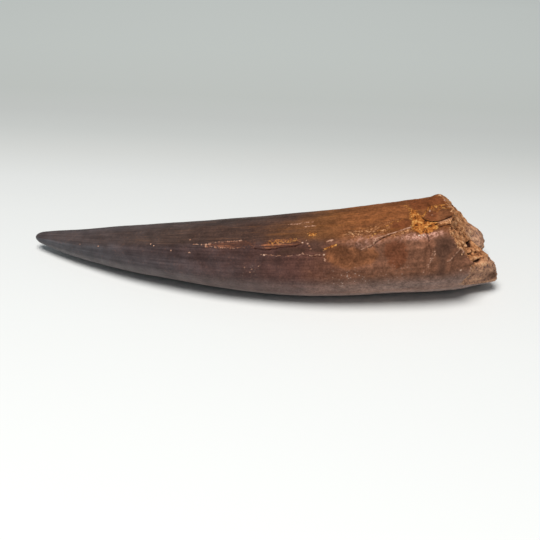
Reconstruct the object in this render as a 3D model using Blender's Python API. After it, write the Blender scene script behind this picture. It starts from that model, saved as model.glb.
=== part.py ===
"""Fossil spinosaurus tooth, lying on its side with its root broken off.

The tip points to -X and the break faces +X. The tooth bows towards -Y and rests
on its belly. Sizes are in metres and +Z is up. The origin is the middle of the
footprint, on the surface that the tooth lies on.

A place on the side of the tooth is a station, the distance from the tip along X,
and an angle around the section: 0 faces -Y, 90 is the top, 180 faces +Y.
"""

import math
from collections import namedtuple

import bmesh
import bpy
from mathutils import Vector, noise

NAME = "tooth"
COLLECTION_NAME = "fossil_spinosaurus_tooth"

# Long form: each pair is a distance from the tip and the value there
HALF_WIDTHS = (
    (0.0, 0.0011), (0.0055, 0.00255), (0.015, 0.00435), (0.0295, 0.00665), (0.039, 0.0079),
    (0.0485, 0.00895), (0.063, 0.0102), (0.077, 0.01115), (0.087, 0.01175), (0.097, 0.0122), (0.112, 0.0125),
)
UNDERSIDE_RISES = (
    (0.0, 0.0023), (0.008, 0.0014), (0.020, 0.0009), (0.035, 0.0004), (0.050, 0.00005), (0.060, 0.0),
    (0.112, 0.0),
)
HEIGHT_TO_WIDTH = 0.85
BOW = 0.0096
BOW_CHORD = 0.104
TIP_ROUND = 0.0018
TIP_REACH = 0.00045
TIP_REACH_LENGTH = 0.004

# Section: a cutting ridge along the upper front, a flatter face above it, a blunter ridge behind
RIDGE_ANGLES = ((0.0, 22.0), (0.020, 34.0), (0.040, 43.0), (0.055, 46.0), (0.085, 42.0), (0.112, 44.0))
RIDGE_SPREAD = 11.0
RIDGE_SHARE = 0.045
FACE_FROM_RIDGE = 46.0
FACE_SPREAD = 30.0
FACE_SHARE = -0.05
REAR_RIDGE_ANGLE = 215.0
REAR_RIDGE_SPREAD = 12.0
REAR_RIDGE_SHARE = 0.03

# Relief on the side: length is along the tooth, arc is in degrees, edge is 1 for soft and 3 for crisp
Relief = namedtuple("Relief", "station angle length arc height edge")
RELIEFS = (
    Relief(0.0790, 26.0, 0.0088, 13.0, -0.00040, 3.0),  # spalled enamel on the front
    Relief(0.0840, 57.0, 0.0085, 8.0, -0.00035, 3.0),  # long flake scar above the ridge
    Relief(0.0918, 62.0, 0.0029, 24.0, -0.00055, 2.0),  # hollow packed with sediment
    Relief(0.0945, 72.0, 0.0036, 12.0, -0.00060, 2.0),  # lens-shaped scar
    Relief(0.0926, 34.0, 0.0008, 22.0, -0.00050, 2.0),  # crack across the ridge
    Relief(0.0962, 41.0, 0.0026, 13.0, 0.00045, 2.0),  # block standing proud beyond the crack
    Relief(0.0952, 106.0, 0.0022, 11.0, 0.00112, 1.5),  # knob at the top of the rim
    Relief(0.1000, 4.0, 0.0026, 17.0, -0.00050, 2.0),  # chipped facet at the front of the rim
    Relief(0.1075, -62.0, 0.0055, 40.0, -0.00060, 2.0),  # underside chipped away below the break
    Relief(0.0700, 150.0, 0.0120, 22.0, -0.00035, 1.0),  # shallow worn hollow on the back
    Relief(0.0930, 165.0, 0.0050, 16.0, -0.00070, 2.0),  # spall at the back of the rim
    Relief(0.0880, 215.0, 0.0045, 10.0, -0.00060, 2.0),  # nick in the rear ridge
    Relief(0.0370, -50.0, 0.0120, 32.0, -0.00035, 1.0),  # slimmer lower flank towards the tip
    Relief(0.0660, -50.0, 0.0140, 32.0, 0.00035, 1.0),  # fuller lower flank at mid length
    Relief(0.0860, -50.0, 0.0060, 32.0, -0.00025, 1.0),  # slimmer lower flank towards the root
)
WAVE_LENGTH = 0.011
WAVE_HEIGHT = 0.00012

# Break: the mean face leans back at the top, and lumps and hollows stand on it
BREAK_STATION = 0.098
BREAK_TOP = 0.0163
BREAK_FRONT = -0.0127
BREAK_LEAN = 0.60
BREAK_SKEW = -0.04
Lump = namedtuple("Lump", "y z width height reach")
LUMPS = (
    Lump(-0.0060, 0.0205, 0.0050, 0.0030, 0.0016),  # crest of the rim
    Lump(0.0112, 0.0052, 0.0042, 0.0029, 0.0028),  # far corner
    Lump(0.0105, 0.0100, 0.0040, 0.0030, 0.0009),  # far rim
    Lump(-0.0135, 0.0120, 0.0026, 0.0030, 0.0008),  # near rim
    Lump(-0.0115, 0.0030, 0.0048, 0.0046, -0.0045),  # bite out of the near rim, low down
    Lump(-0.0050, 0.0066, 0.0044, 0.0050, 0.0043),  # big lower lobe
    Lump(-0.0020, 0.0150, 0.0060, 0.0040, 0.0012),  # upper lobe
    Lump(-0.0055, 0.0116, 0.0022, 0.0010, -0.0016),  # pit under the upper lobe
    Lump(-0.0080, 0.0094, 0.0013, 0.0009, -0.0010),  # hollow in the top of the lower lobe
    Lump(0.0031, 0.0062, 0.0018, 0.0013, -0.0030),  # hollow of the pulp cavity
    Lump(0.0035, 0.0032, 0.0022, 0.0012, -0.0022),  # notch over the lower lobe
)
LUMP_SQUARENESS = 1.7
CRUMB_SIZE = 0.0022
CRUMB_HEIGHT = 0.0005
CRUMB_OCTAVES = 2

# Rest: the belly is worn flat to this depth where it touches the surface
REST_DEPTH = 0.00025
REST_SNAP = 0.00006

# Mesh
SEGMENTS = 68
TIP_ROWS = 5
SIDE_ROWS = 49
BREAK_ROWS = 15
ROW_BIAS = 0.4
RIM_STEPS = 40
SHARP_ANGLE = math.radians(50.0)

COLOUR = (0.130, 0.052, 0.026, 1.0)
ROUGHNESS = 0.42


def clear_scene():
    """Remove every object that the scene starts with."""
    for old in list(bpy.data.objects):
        bpy.data.objects.remove(old, do_unlink=True)


def along(stations, distance):
    """Read a smooth curve through (distance, value) pairs."""
    distance = min(max(distance, stations[0][0]), stations[-1][0])
    steps = [(b[0] - a[0], (b[1] - a[1]) / (b[0] - a[0])) for a, b in zip(stations, stations[1:])]
    slopes = [steps[0][1]]
    for (step_a, rate_a), (step_b, rate_b) in zip(steps, steps[1:]):
        slopes.append((rate_a * step_b + rate_b * step_a) / (step_a + step_b))
    slopes.append(steps[-1][1])
    index = 0
    while index < len(steps) - 1 and distance > stations[index + 1][0]:
        index += 1
    step = steps[index][0]
    t = (distance - stations[index][0]) / step
    start, end = stations[index][1], stations[index + 1][1]
    return (
        (2 * t**3 - 3 * t**2 + 1) * start
        + (t**3 - 2 * t**2 + t) * step * slopes[index]
        + (3 * t**2 - 2 * t**3) * end
        + (t**3 - t**2) * step * slopes[index + 1]
    )


def turn_between(angle, centre):
    """Shortest turn in degrees from one angle around the section to another."""
    return (angle - centre + 180.0) % 360.0 - 180.0


def swell(angle, centre, spread, share):
    """Soft ridge or hollow around the section, as a share of its half width."""
    return share * math.exp(-((turn_between(angle, centre) / spread) ** 2))


def section_factor(station, angle):
    """How far the section stands out from a plain ellipse at an angle."""
    ridge = along(RIDGE_ANGLES, station)
    return (
        1.0
        + swell(angle, ridge, RIDGE_SPREAD, RIDGE_SHARE)
        + swell(angle, ridge + FACE_FROM_RIDGE, FACE_SPREAD, FACE_SHARE)
        + swell(angle, REAR_RIDGE_ANGLE, REAR_RIDGE_SPREAD, REAR_RIDGE_SHARE)
    )


def tip_factor(station):
    """Round the blunt tip off to a point on the axis."""
    inset = 1.0 - min(station / TIP_ROUND, 1.0)
    return math.sqrt(max(1.0 - inset**2, 0.0))


def relief_height(station, angle):
    """Height of the scars, cracks and knobs at a place on the side."""
    height = 0.0
    for relief in RELIEFS:
        near = ((station - relief.station) / relief.length) ** 2
        near += (turn_between(angle, relief.angle) / relief.arc) ** 2
        height += relief.height * math.exp(-(near**relief.edge))
    return height


def section_centre(station):
    """Y and Z of the middle of the section at a station."""
    t = station / BOW_CHORD
    rise = along(UNDERSIDE_RISES, station) + along(HALF_WIDTHS, station) * HEIGHT_TO_WIDTH
    return -4.0 * BOW * t * (1.0 - t), rise


def side_point(station, angle):
    """A point on the side of the tooth."""
    turn = math.radians(angle)
    centre_y, centre_z = section_centre(station)
    closing = tip_factor(station)
    half_width = along(HALF_WIDTHS, station) * closing * section_factor(station, angle)
    outwards = Vector((0.0, -math.cos(turn), HEIGHT_TO_WIDTH * math.sin(turn)))
    reach = TIP_REACH * math.exp(-((station / TIP_REACH_LENGTH) ** 2))
    point = Vector((station - reach, centre_y, centre_z)) + half_width * outwards
    wave = WAVE_HEIGHT * noise.noise(point / WAVE_LENGTH)
    return point + (relief_height(station, angle) + wave) * closing * outwards.normalized()


def break_station(y, z):
    """Station of the broken face at a place across the section."""
    station = BREAK_STATION + BREAK_LEAN * (BREAK_TOP - z) + BREAK_SKEW * (y - BREAK_FRONT)
    for lump in LUMPS:
        near = ((y - lump.y) / lump.width) ** 2 + ((z - lump.z) / lump.height) ** 2
        station += lump.reach * math.exp(-(near**LUMP_SQUARENESS))
    return station + CRUMB_HEIGHT * noise.fractal(Vector((0.0, y, z)) / CRUMB_SIZE, 1.0, 2.0, CRUMB_OCTAVES)


def rim_station(angle):
    """Station where the side meets the broken face, found by stepping towards it."""
    station = BREAK_STATION
    for _ in range(RIM_STEPS):
        point = side_point(station, angle)
        station += 0.5 * (break_station(point.y, point.z) - station)
    return station


def place_vertex(row, angle, rim):
    """Place of a vertex of the ball on the tooth.

    Rows run from the pole at the tip, down the side and across the break.
    """
    if row <= TIP_ROWS:
        return side_point(TIP_ROUND * (1.0 - math.cos(0.5 * math.pi * row / TIP_ROWS)), angle)
    if row <= TIP_ROWS + SIDE_ROWS:
        share = (row - TIP_ROWS) / SIDE_ROWS
        share += ROW_BIAS * share * (1.0 - share)
        return side_point(TIP_ROUND + (rim - TIP_ROUND) * share, angle)
    share = 1.0 - (row - TIP_ROWS - SIDE_ROWS) / BREAK_ROWS
    edge = side_point(rim, angle)
    centre_y, centre_z = section_centre(BREAK_STATION)
    y = centre_y + share * (edge.y - centre_y)
    z = centre_z + share * (edge.z - centre_z)
    return Vector((break_station(y, z), y, z))


def shape_tooth():
    """Draw a ball out into the tooth, with its poles at the tip and in the break."""
    shape = bmesh.new()
    rows = TIP_ROWS + SIDE_ROWS + BREAK_ROWS
    bmesh.ops.create_uvsphere(shape, u_segments=SEGMENTS, v_segments=rows, radius=1.0)
    rims = [rim_station(360.0 * segment / SEGMENTS) for segment in range(SEGMENTS)]
    for vertex in shape.verts:
        row = round(rows * math.acos(min(max(vertex.co.z, -1.0), 1.0)) / math.pi)
        segment = round(SEGMENTS * math.atan2(vertex.co.y, vertex.co.x) / (2.0 * math.pi)) % SEGMENTS
        vertex.co = place_vertex(row, 360.0 * segment / SEGMENTS, rims[segment])
    bmesh.ops.recalc_face_normals(shape, faces=shape.faces)
    return shape


def flatten_belly(shape):
    """Cut the belly flat where the tooth rests, and close the cut."""
    for vertex in shape.verts:
        if abs(vertex.co.z - REST_DEPTH) < REST_SNAP:
            vertex.co.z = REST_DEPTH
    bmesh.ops.bisect_plane(
        shape,
        geom=shape.verts[:] + shape.edges[:] + shape.faces[:],
        plane_co=(0.0, 0.0, REST_DEPTH),
        plane_no=(0.0, 0.0, -1.0),
        clear_outer=True,
    )
    bmesh.ops.holes_fill(shape, edges=[edge for edge in shape.edges if edge.is_boundary])


def set_on_origin(shape):
    """Move the middle of the footprint to the origin."""
    low = Vector([min(vertex.co[axis] for vertex in shape.verts) for axis in range(3)])
    high = Vector([max(vertex.co[axis] for vertex in shape.verts) for axis in range(3)])
    middle = (low + high) / 2.0
    bmesh.ops.translate(shape, verts=shape.verts, vec=(-middle.x, -middle.y, -low.z))


def fossil_material():
    """Dark red-brown fossil enamel and dentine, with a soft polish."""
    material = bpy.data.materials.new("fossil_enamel")
    material.use_nodes = True
    shader = material.node_tree.nodes["Principled BSDF"]
    shader.inputs["Base Color"].default_value = COLOUR
    shader.inputs["Roughness"].default_value = ROUGHNESS
    shader.inputs["Metallic"].default_value = 0.0
    return material


def build():
    """Make the tooth and put it in its collection."""
    clear_scene()
    collection = bpy.data.collections.new(COLLECTION_NAME)
    bpy.context.scene.collection.children.link(collection)
    shape = shape_tooth()
    flatten_belly(shape)
    set_on_origin(shape)
    mesh = bpy.data.meshes.new(NAME)
    shape.to_mesh(mesh)
    shape.free()
    mesh.materials.append(fossil_material())
    mesh.shade_smooth()
    mesh.set_sharp_from_angle(angle=SHARP_ANGLE)
    collection.objects.link(bpy.data.objects.new(NAME, mesh))


build()
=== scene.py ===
"""Looks of the fossil spinosaurus tooth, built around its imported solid.

The tooth is drawn again as one fine mesh in the place of the solid, with the same
long form, scars and broken end, and with the flutes, cracks, pits and crumbs that
are too small for the solid. Sizes are metres, +Z is up, and the tip points to -X.

A place on the side is a station, which is the distance from the tip along X, and an
angle around the section in degrees: 0 faces -Y, 90 is the top, 180 faces +Y.
"""

from __future__ import annotations

import logging
import math
from dataclasses import dataclass, field
from enum import Enum

import bmesh
import bpy
import numpy as np
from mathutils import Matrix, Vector, noise

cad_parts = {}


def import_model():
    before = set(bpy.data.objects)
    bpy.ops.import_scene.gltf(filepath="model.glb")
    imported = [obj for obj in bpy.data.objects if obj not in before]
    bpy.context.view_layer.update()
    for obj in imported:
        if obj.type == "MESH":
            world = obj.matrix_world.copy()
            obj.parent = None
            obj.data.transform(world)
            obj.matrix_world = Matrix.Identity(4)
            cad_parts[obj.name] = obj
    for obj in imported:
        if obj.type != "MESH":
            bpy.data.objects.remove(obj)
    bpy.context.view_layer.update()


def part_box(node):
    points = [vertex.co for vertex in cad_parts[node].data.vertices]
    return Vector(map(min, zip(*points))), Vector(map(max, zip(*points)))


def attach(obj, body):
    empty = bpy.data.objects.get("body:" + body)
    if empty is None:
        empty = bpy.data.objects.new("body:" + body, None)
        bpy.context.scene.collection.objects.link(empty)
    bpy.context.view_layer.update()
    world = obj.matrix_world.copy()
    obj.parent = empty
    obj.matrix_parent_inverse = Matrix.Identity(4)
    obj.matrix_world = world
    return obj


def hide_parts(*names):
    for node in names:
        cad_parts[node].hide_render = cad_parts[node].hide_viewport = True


log = logging.getLogger("tooth")

NODE = "tooth"
GRAIN = "grain"
MM = 0.001
Places = tuple[tuple[float, float], ...]


class Zone(Enum):
    """Parts of the surface that differ in finish, each with the attribute that maps it.

    A soft zone fades from 0 to 1. An edged zone is 0.5 at its border, so that the
    finish can cut it as sharply as it likes.
    """

    WARMTH = "warmth"  # soft: 0 on the near-black crown, 1 on the warm brown root
    UPPER = "upper"  # soft: the side above the ridge, over to the rear ridge
    PAINTED_TABLE_LIGHT = "belly"  # soft: painted light and reflection of the pale table on the flank towards the ground
    PAINTED_RIDGE_HIGHLIGHT = "ridge"  # soft: painted highlight on the crinkles on the crest of the ridge
    PAINTED_SHADE = "painted_shade"  # soft: painted shade, a darker band below the ridge of the crown
    PITTED = "pitted"  # soft: pinholes with pale grit
    RELIEF = "relief"  # soft: high places at 1 and low places at 0; broken dentine is painted darker in its low places, a painted shade
    CRACK_AND_SHADE = "crack"  # edged: dark cracks, and painted shade in pits and under a lip
    PALE = "pale"  # edged: pale lips of scars, specks, and painted glints
    WEAR = "wear"  # edged: enamel rubbed to streaks
    WINDOW = "window"  # edged: dentine that shows through thin enamel
    RED = "red"  # edged: red-brown patches
    SEDIMENT = "sediment"  # edged: ochre grit
    STAIN = "stain"  # edged: grey-brown stain
    BROKEN = "broken"  # edged: tan, crumbly dentine


@dataclass(frozen=True)
class Curve:
    """A smooth curve through given points.

    Attributes:
        points: pairs of a measure and the value there.
    """

    points: Places

    def at(self, where: np.ndarray) -> np.ndarray:
        """Read the curve.

        Args:
            where: the measures to read it at.

        Returns:
            The value at each of them.
        """
        x, y = np.array(self.points).T
        step = np.diff(x)
        rate = np.diff(y) / step
        inner = (rate[:-1] * step[1:] + rate[1:] * step[:-1]) / (step[1:] + step[:-1])
        slope = np.concatenate([rate[:1], inner, rate[-1:]])
        where = np.clip(where, x[0], x[-1])
        i = np.clip(np.searchsorted(x, where) - 1, 0, len(step) - 1)
        t = (where - x[i]) / step[i]
        start = (2 * t**3 - 3 * t**2 + 1) * y[i] + (t**3 - 2 * t**2 + t) * step[i] * slope[i]
        end = (3 * t**2 - 2 * t**3) * y[i + 1] + (t**3 - t**2) * step[i] * slope[i + 1]
        return start + end


def turn_between(angle: np.ndarray, centre: float | np.ndarray) -> np.ndarray:
    """Shortest turn in degrees from one angle around the section to another.

    Args:
        angle: the angles, in degrees.
        centre: the angle that they are measured from.

    Returns:
        Turns from -180 to 180 degrees.
    """
    return (angle - centre + 180.0) % 360.0 - 180.0


@dataclass(frozen=True)
class Clouds:
    """Cloudy noise, the same each run.

    Attributes:
        size: size of its largest clouds, in metres.
        octaves: how many layers it has, each half as coarse as the one before.
        shift: moves the pattern, so that two fields differ.
    """

    size: float
    octaves: int = 3
    shift: float = 0.0

    def at(self, points: np.ndarray) -> np.ndarray:
        """Read the noise.

        Args:
            points: places in metres, one row each.

        Returns:
            One value for each place, from about -1 to 1.
        """
        scaled = (points / self.size + self.shift).tolist()
        return np.array([noise.fractal(Vector(place), 1.0, 2.0, self.octaves) for place in scaled])


def grains(points: np.ndarray, size: float, steepness: float = 1.8) -> np.ndarray:
    """Rounded grains packed side by side.

    Args:
        points: places in metres, one row each.
        size: width of a grain, in metres.
        steepness: how fast a grain rises out of the gap beside it.

    Returns:
        One value for each place, near 1 at a grain's middle and 0 between grains.
    """
    nearest = [noise.voronoi(Vector(place))[0] for place in (points / size).tolist()]
    return np.clip([steepness * (second - first) for first, second, *_ in nearest], 0.0, 1.0)


def fade(amount: np.ndarray) -> np.ndarray:
    """Ease an amount from 0 to 1 with a smooth start and end."""
    amount = np.clip(amount, 0.0, 1.0)
    return amount * amount * (3.0 - 2.0 * amount)


@dataclass(frozen=True)
class Ease:
    """A smooth rise from 0 to 1 between two measures.

    Attributes:
        start: the measure at which it starts.
        end: the measure at which it is done, which may be the smaller one.
    """

    start: float
    end: float

    def at(self, where: np.ndarray) -> np.ndarray:
        """Read the rise at each measure."""
        return fade((where - self.start) / (self.end - self.start))


@dataclass(frozen=True)
class Surface:
    """Places on the side of the tooth, as arrays of one length.

    Attributes:
        station: distances from the tip.
        angle: angles around the section.
        radius: half widths of the section, which turn degrees to metres.
    """

    station: np.ndarray
    angle: np.ndarray
    radius: np.ndarray

    def distance(self, line: Places) -> np.ndarray:
        """Distance to a line of straight runs.

        Args:
            line: (station, angle) pairs that the line runs through.

        Returns:
            The distance of each place, in metres.
        """
        per_degree = math.pi / 180.0 * self.radius
        nearest = np.full(self.station.shape, np.inf)
        for (from_s, from_a), (to_s, to_a) in zip(line, line[1:]):
            x, y = self.station - from_s, turn_between(self.angle, from_a) * per_degree
            run_x, run_y = to_s - from_s, (to_a - from_a) * per_degree
            share = np.clip((x * run_x + y * run_y) / (run_x**2 + run_y**2), 0.0, 1.0)
            nearest = np.minimum(nearest, np.hypot(x - share * run_x, y - share * run_y))
        return nearest


@dataclass(frozen=True)
class Wobble:
    """Noise at places on the side.

    Attributes:
        place: the places as points, one row each.
        broad: noise of broad clouds.
        fine: noise of fine clouds.
    """

    place: np.ndarray
    broad: np.ndarray
    fine: np.ndarray


@dataclass(frozen=True)
class Bend:
    """How far noise shifts what is drawn on the side, which makes it ragged.

    Attributes:
        broad: shift along the tooth with the broad clouds, in metres.
        fine: shift along the tooth with the fine clouds, in metres.
        broad_turn: shift around the section with the broad clouds, in degrees.
        fine_turn: shift around the section with the fine clouds, in degrees.
    """

    broad: float
    fine: float
    broad_turn: float
    fine_turn: float

    def of(self, surface: Surface, wobble: Wobble) -> Surface:
        """Shift places on the side.

        Args:
            surface: the places.
            wobble: the noise there.

        Returns:
            The shifted places.
        """
        along = self.broad * wobble.broad + self.fine * wobble.fine
        around = self.broad_turn * wobble.broad + self.fine_turn * wobble.fine
        return Surface(surface.station + along, surface.angle + around, surface.radius)


@dataclass(frozen=True)
class Patch:
    """A soft-edged oval patch on the side.

    Attributes:
        station: distance of its middle from the tip.
        angle: angle of its middle around the section.
        length: half its length along the tooth.
        arc: half its width around the section, in degrees.
        height: how far it stands out, or how strong it is.
        edge: 1 for a soft edge, 3 for a crisp one.
    """

    station: float
    angle: float
    length: float
    arc: float
    height: float = 1.0
    edge: float = 2.0

    def on(self, surface: Surface) -> np.ndarray:
        """Read the patch.

        Args:
            surface: the places to read it at.

        Returns:
            Its height at each place.
        """
        near = ((surface.station - self.station) / self.length) ** 2
        near = near + (turn_between(surface.angle, self.angle) / self.arc) ** 2
        return self.height * np.exp(-(near**self.edge))


@dataclass(frozen=True)
class Trace:
    """A thin line on the side, such as a crack or the lip of a scar.

    Attributes:
        line: (station, angle) pairs that it runs through.
        width: half its width, in metres.
        height: how far it stands out of the surface, in metres.
        dark: how dark it is; from 0.5 to 1 it shows less and less broken up.
        pale: how pale it is, in the same way.
        ochre: how much ochre grit lies in it, in the same way.
    """

    line: Places
    width: float = 0.00018
    height: float = -0.00015
    dark: float = 0.0
    pale: float = 0.0
    ochre: float = 0.0

    def on(self, surface: Surface, spread: float = 1.0) -> np.ndarray:
        """Read the line.

        Args:
            surface: the places to read it at.
            spread: a factor on its width.

        Returns:
            1 on the line, falling to 0 beside it.
        """
        return np.exp(-((surface.distance(self.line) / (spread * self.width)) ** 2))


@dataclass(frozen=True)
class Plate:
    """A patch with an outline of its own, such as a flake scar.

    Attributes:
        corners: (station, angle) pairs around it.
        height: how far its surface stands out, in metres.
        slope: width of the step at its edge, in metres.
        zone: the finish that it has, or none.
        strength: how full the finish is; below 1 it is broken up.
    """

    corners: Places
    height: float = 0.0
    slope: float = 0.0004
    zone: Zone | None = None
    strength: float = 1.0

    def depth_inside(self, surface: Surface) -> np.ndarray:
        """Distance to the outline, counted positive inside it.

        Args:
            surface: the places to read it at.

        Returns:
            One distance for each place, in metres.
        """
        closed = self.corners + self.corners[:1]
        middle = sum(angle for _, angle in self.corners) / len(self.corners)
        around = turn_between(surface.angle, middle)
        inside = np.zeros(surface.station.shape, bool)
        for (from_s, from_a), (to_s, to_a) in zip(closed, closed[1:]):
            if from_a == to_a:
                continue
            share = (around - (from_a - middle)) / (to_a - from_a)
            crossed = (share >= 0.0) & (share < 1.0)
            inside ^= crossed & (surface.station < from_s + share * (to_s - from_s))
        distance = surface.distance(closed)
        return np.where(inside, distance, -distance)


@dataclass(frozen=True)
class Lump:
    """A lump or pit of the broken end, placed across the section.

    Attributes:
        y: where its middle is across the section.
        z: where its middle is up the section.
        width: half its width along Y.
        height: half its height along Z.
        reach: how far it stands out along the tooth.
    """

    y: float
    z: float
    width: float
    height: float
    reach: float


@dataclass(frozen=True)
class Swell:
    """A ridge or a hollow that runs along the whole tooth.

    Attributes:
        angle: where it lies around the section, in degrees.
        spread: how wide it is around the section, in degrees.
        share: how far it stands out, as a share of the half width.
    """

    angle: float
    spread: float
    share: float


@dataclass(frozen=True)
class ToothForm:
    """The long curved cone, with its ridges and the scars that the solid has too.

    Attributes:
        half_widths: half the width of the section, by station.
        underside_rises: how far the underside is off the ground, by station.
        ridge_angles: where the ridge on the side lies around the section, by station.
        side_ridge: that ridge, its angle counted from ridge_angles.
        hollow: the hollow above it, its angle counted from ridge_angles.
        rear_ridge: the weaker ridge at the back.
        height_to_width: height of the section as a share of its width.
        bow: how far the middle of the tooth is bowed out, towards -Y.
        bow_chord: length over which it is bowed.
        tip_round: length of the rounded tip.
        tip_reach: how far the tip is drawn out again.
        tip_reach_length: length over which it is drawn out.
        rest_depth: depth of the flat place that is rubbed into the belly.
        wave_length: length of the gentle waves of the whole surface.
        wave_height: height of those waves.
        reliefs: scars, knobs and fuller or slimmer places.
    """

    half_widths: Curve = Curve(
        (
            (0.0, 0.0011), (0.0055, 0.00255), (0.015, 0.00435), (0.0295, 0.00665), (0.039, 0.0079),
            (0.0485, 0.00895), (0.063, 0.0102), (0.077, 0.01115), (0.087, 0.01175), (0.097, 0.0122),
            (0.112, 0.0125),
        )
    )
    underside_rises: Curve = Curve(
        (
            (0.0, 0.0023), (0.008, 0.0014), (0.020, 0.0009), (0.035, 0.0004), (0.050, 0.00005),
            (0.060, 0.0), (0.112, 0.0),
        )
    )
    ridge_angles: Curve = Curve(
        (
            (0.0, 22.0), (0.020, 34.0), (0.040, 43.0), (0.055, 46.0), (0.085, 42.0), (0.112, 44.0),
        )
    )
    side_ridge: Swell = Swell(0.0, 11.0, 0.045)
    hollow: Swell = Swell(46.0, 30.0, -0.05)
    rear_ridge: Swell = Swell(215.0, 12.0, 0.03)
    height_to_width: float = 0.85
    bow: float = 0.0096
    bow_chord: float = 0.104
    tip_round: float = 0.0018
    tip_reach: float = 0.00045
    tip_reach_length: float = 0.004
    rest_depth: float = 0.00025
    wave_length: float = 0.011
    wave_height: float = 0.00012
    reliefs: tuple[Patch, ...] = (
        Patch(0.0790, 26.0, 0.0088, 13.0, -0.00040, 3.0),  # spalled enamel on the front
        Patch(0.0840, 57.0, 0.0085, 8.0, -0.00035, 3.0),  # long flake scar above the ridge
        Patch(0.0918, 62.0, 0.0029, 24.0, -0.00055, 2.0),  # hollow packed with sediment
        Patch(0.0945, 72.0, 0.0036, 12.0, -0.00060, 2.0),  # lens-shaped scar
        Patch(0.0926, 34.0, 0.0008, 22.0, -0.00050, 2.0),  # crack across the ridge
        Patch(0.0962, 41.0, 0.0026, 13.0, 0.00045, 2.0),  # block standing proud beyond the crack
        Patch(0.0952, 106.0, 0.0022, 11.0, 0.00112, 1.5),  # knob at the top of the rim
        Patch(0.1000, 4.0, 0.0026, 17.0, -0.00050, 2.0),  # chipped facet at the front of the rim
        Patch(0.1075, -62.0, 0.0055, 40.0, -0.00060, 2.0),  # underside chipped below the break
        Patch(0.0700, 150.0, 0.0120, 22.0, -0.00035, 1.0),  # shallow worn hollow on the back
        Patch(0.0930, 165.0, 0.0050, 16.0, -0.00070, 2.0),  # spall at the back of the rim
        Patch(0.0880, 215.0, 0.0045, 10.0, -0.00060, 2.0),  # nick in the rear ridge
        Patch(0.0370, -50.0, 0.0120, 32.0, -0.00035, 1.0),  # slimmer lower flank towards the tip
        Patch(0.0660, -50.0, 0.0140, 32.0, 0.00035, 1.0),  # fuller lower flank at mid length
        Patch(0.0860, -50.0, 0.0060, 32.0, -0.00025, 1.0),  # slimmer lower flank towards the root
    )

    def section_factor(self, station: np.ndarray, angle: np.ndarray) -> np.ndarray:
        """How far the section stands out from a plain ellipse.

        Args:
            station: distances from the tip.
            angle: angles around the section.

        Returns:
            A factor on the half width at each place.
        """
        ridge = self.ridge_angles.at(station)
        factor = np.ones_like(angle)
        for swell, origin in ((self.side_ridge, ridge), (self.hollow, ridge), (self.rear_ridge, 0.0)):
            turn = turn_between(angle, origin + swell.angle)
            factor += swell.share * np.exp(-((turn / swell.spread) ** 2))
        return factor

    def from_ridge(self, surface: Surface) -> np.ndarray:
        """Turn in degrees from the ridge on the side to each place."""
        return turn_between(surface.angle, self.ridge_angles.at(surface.station))

    def centre(self, station: np.ndarray) -> tuple[np.ndarray, np.ndarray]:
        """Middle of the section.

        Args:
            station: distances from the tip.

        Returns:
            Its Y and its Z, as two arrays.
        """
        t = station / self.bow_chord
        rise = self.underside_rises.at(station) + self.half_widths.at(station) * self.height_to_width
        return -4.0 * self.bow * t * (1.0 - t), rise

    def surface(self, station: np.ndarray, angle: np.ndarray) -> Surface:
        """Gather places on the side with the half width of the section there."""
        return Surface(station, angle, self.half_widths.at(station))

    def side(self, surface: Surface, detail: np.ndarray | float = 0.0) -> np.ndarray:
        """Points on the side of the tooth.

        Args:
            surface: the places on the side.
            detail: fine relief to add, in metres.

        Returns:
            One row of X, Y and Z for each place.
        """
        station, turn = surface.station, np.radians(surface.angle)
        centre_y, centre_z = self.centre(station)
        inset = 1.0 - np.minimum(station / self.tip_round, 1.0)
        closing = np.sqrt(np.maximum(1.0 - inset**2, 0.0))
        half_width = surface.radius * closing * self.section_factor(station, surface.angle)
        out_y, out_z = -np.cos(turn), self.height_to_width * np.sin(turn)
        x = station - self.tip_reach * np.exp(-((station / self.tip_reach_length) ** 2))
        plain = np.stack([x, centre_y + half_width * out_y, centre_z + half_width * out_z], -1)
        wave = np.array([noise.noise(Vector(place)) for place in (plain / self.wave_length).tolist()])
        raised = detail + self.wave_height * wave + sum(relief.on(surface) for relief in self.reliefs)
        out = np.stack([np.zeros_like(turn), out_y, out_z], -1)
        return plain + (raised * closing / np.hypot(out_y, out_z))[:, None] * out


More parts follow.
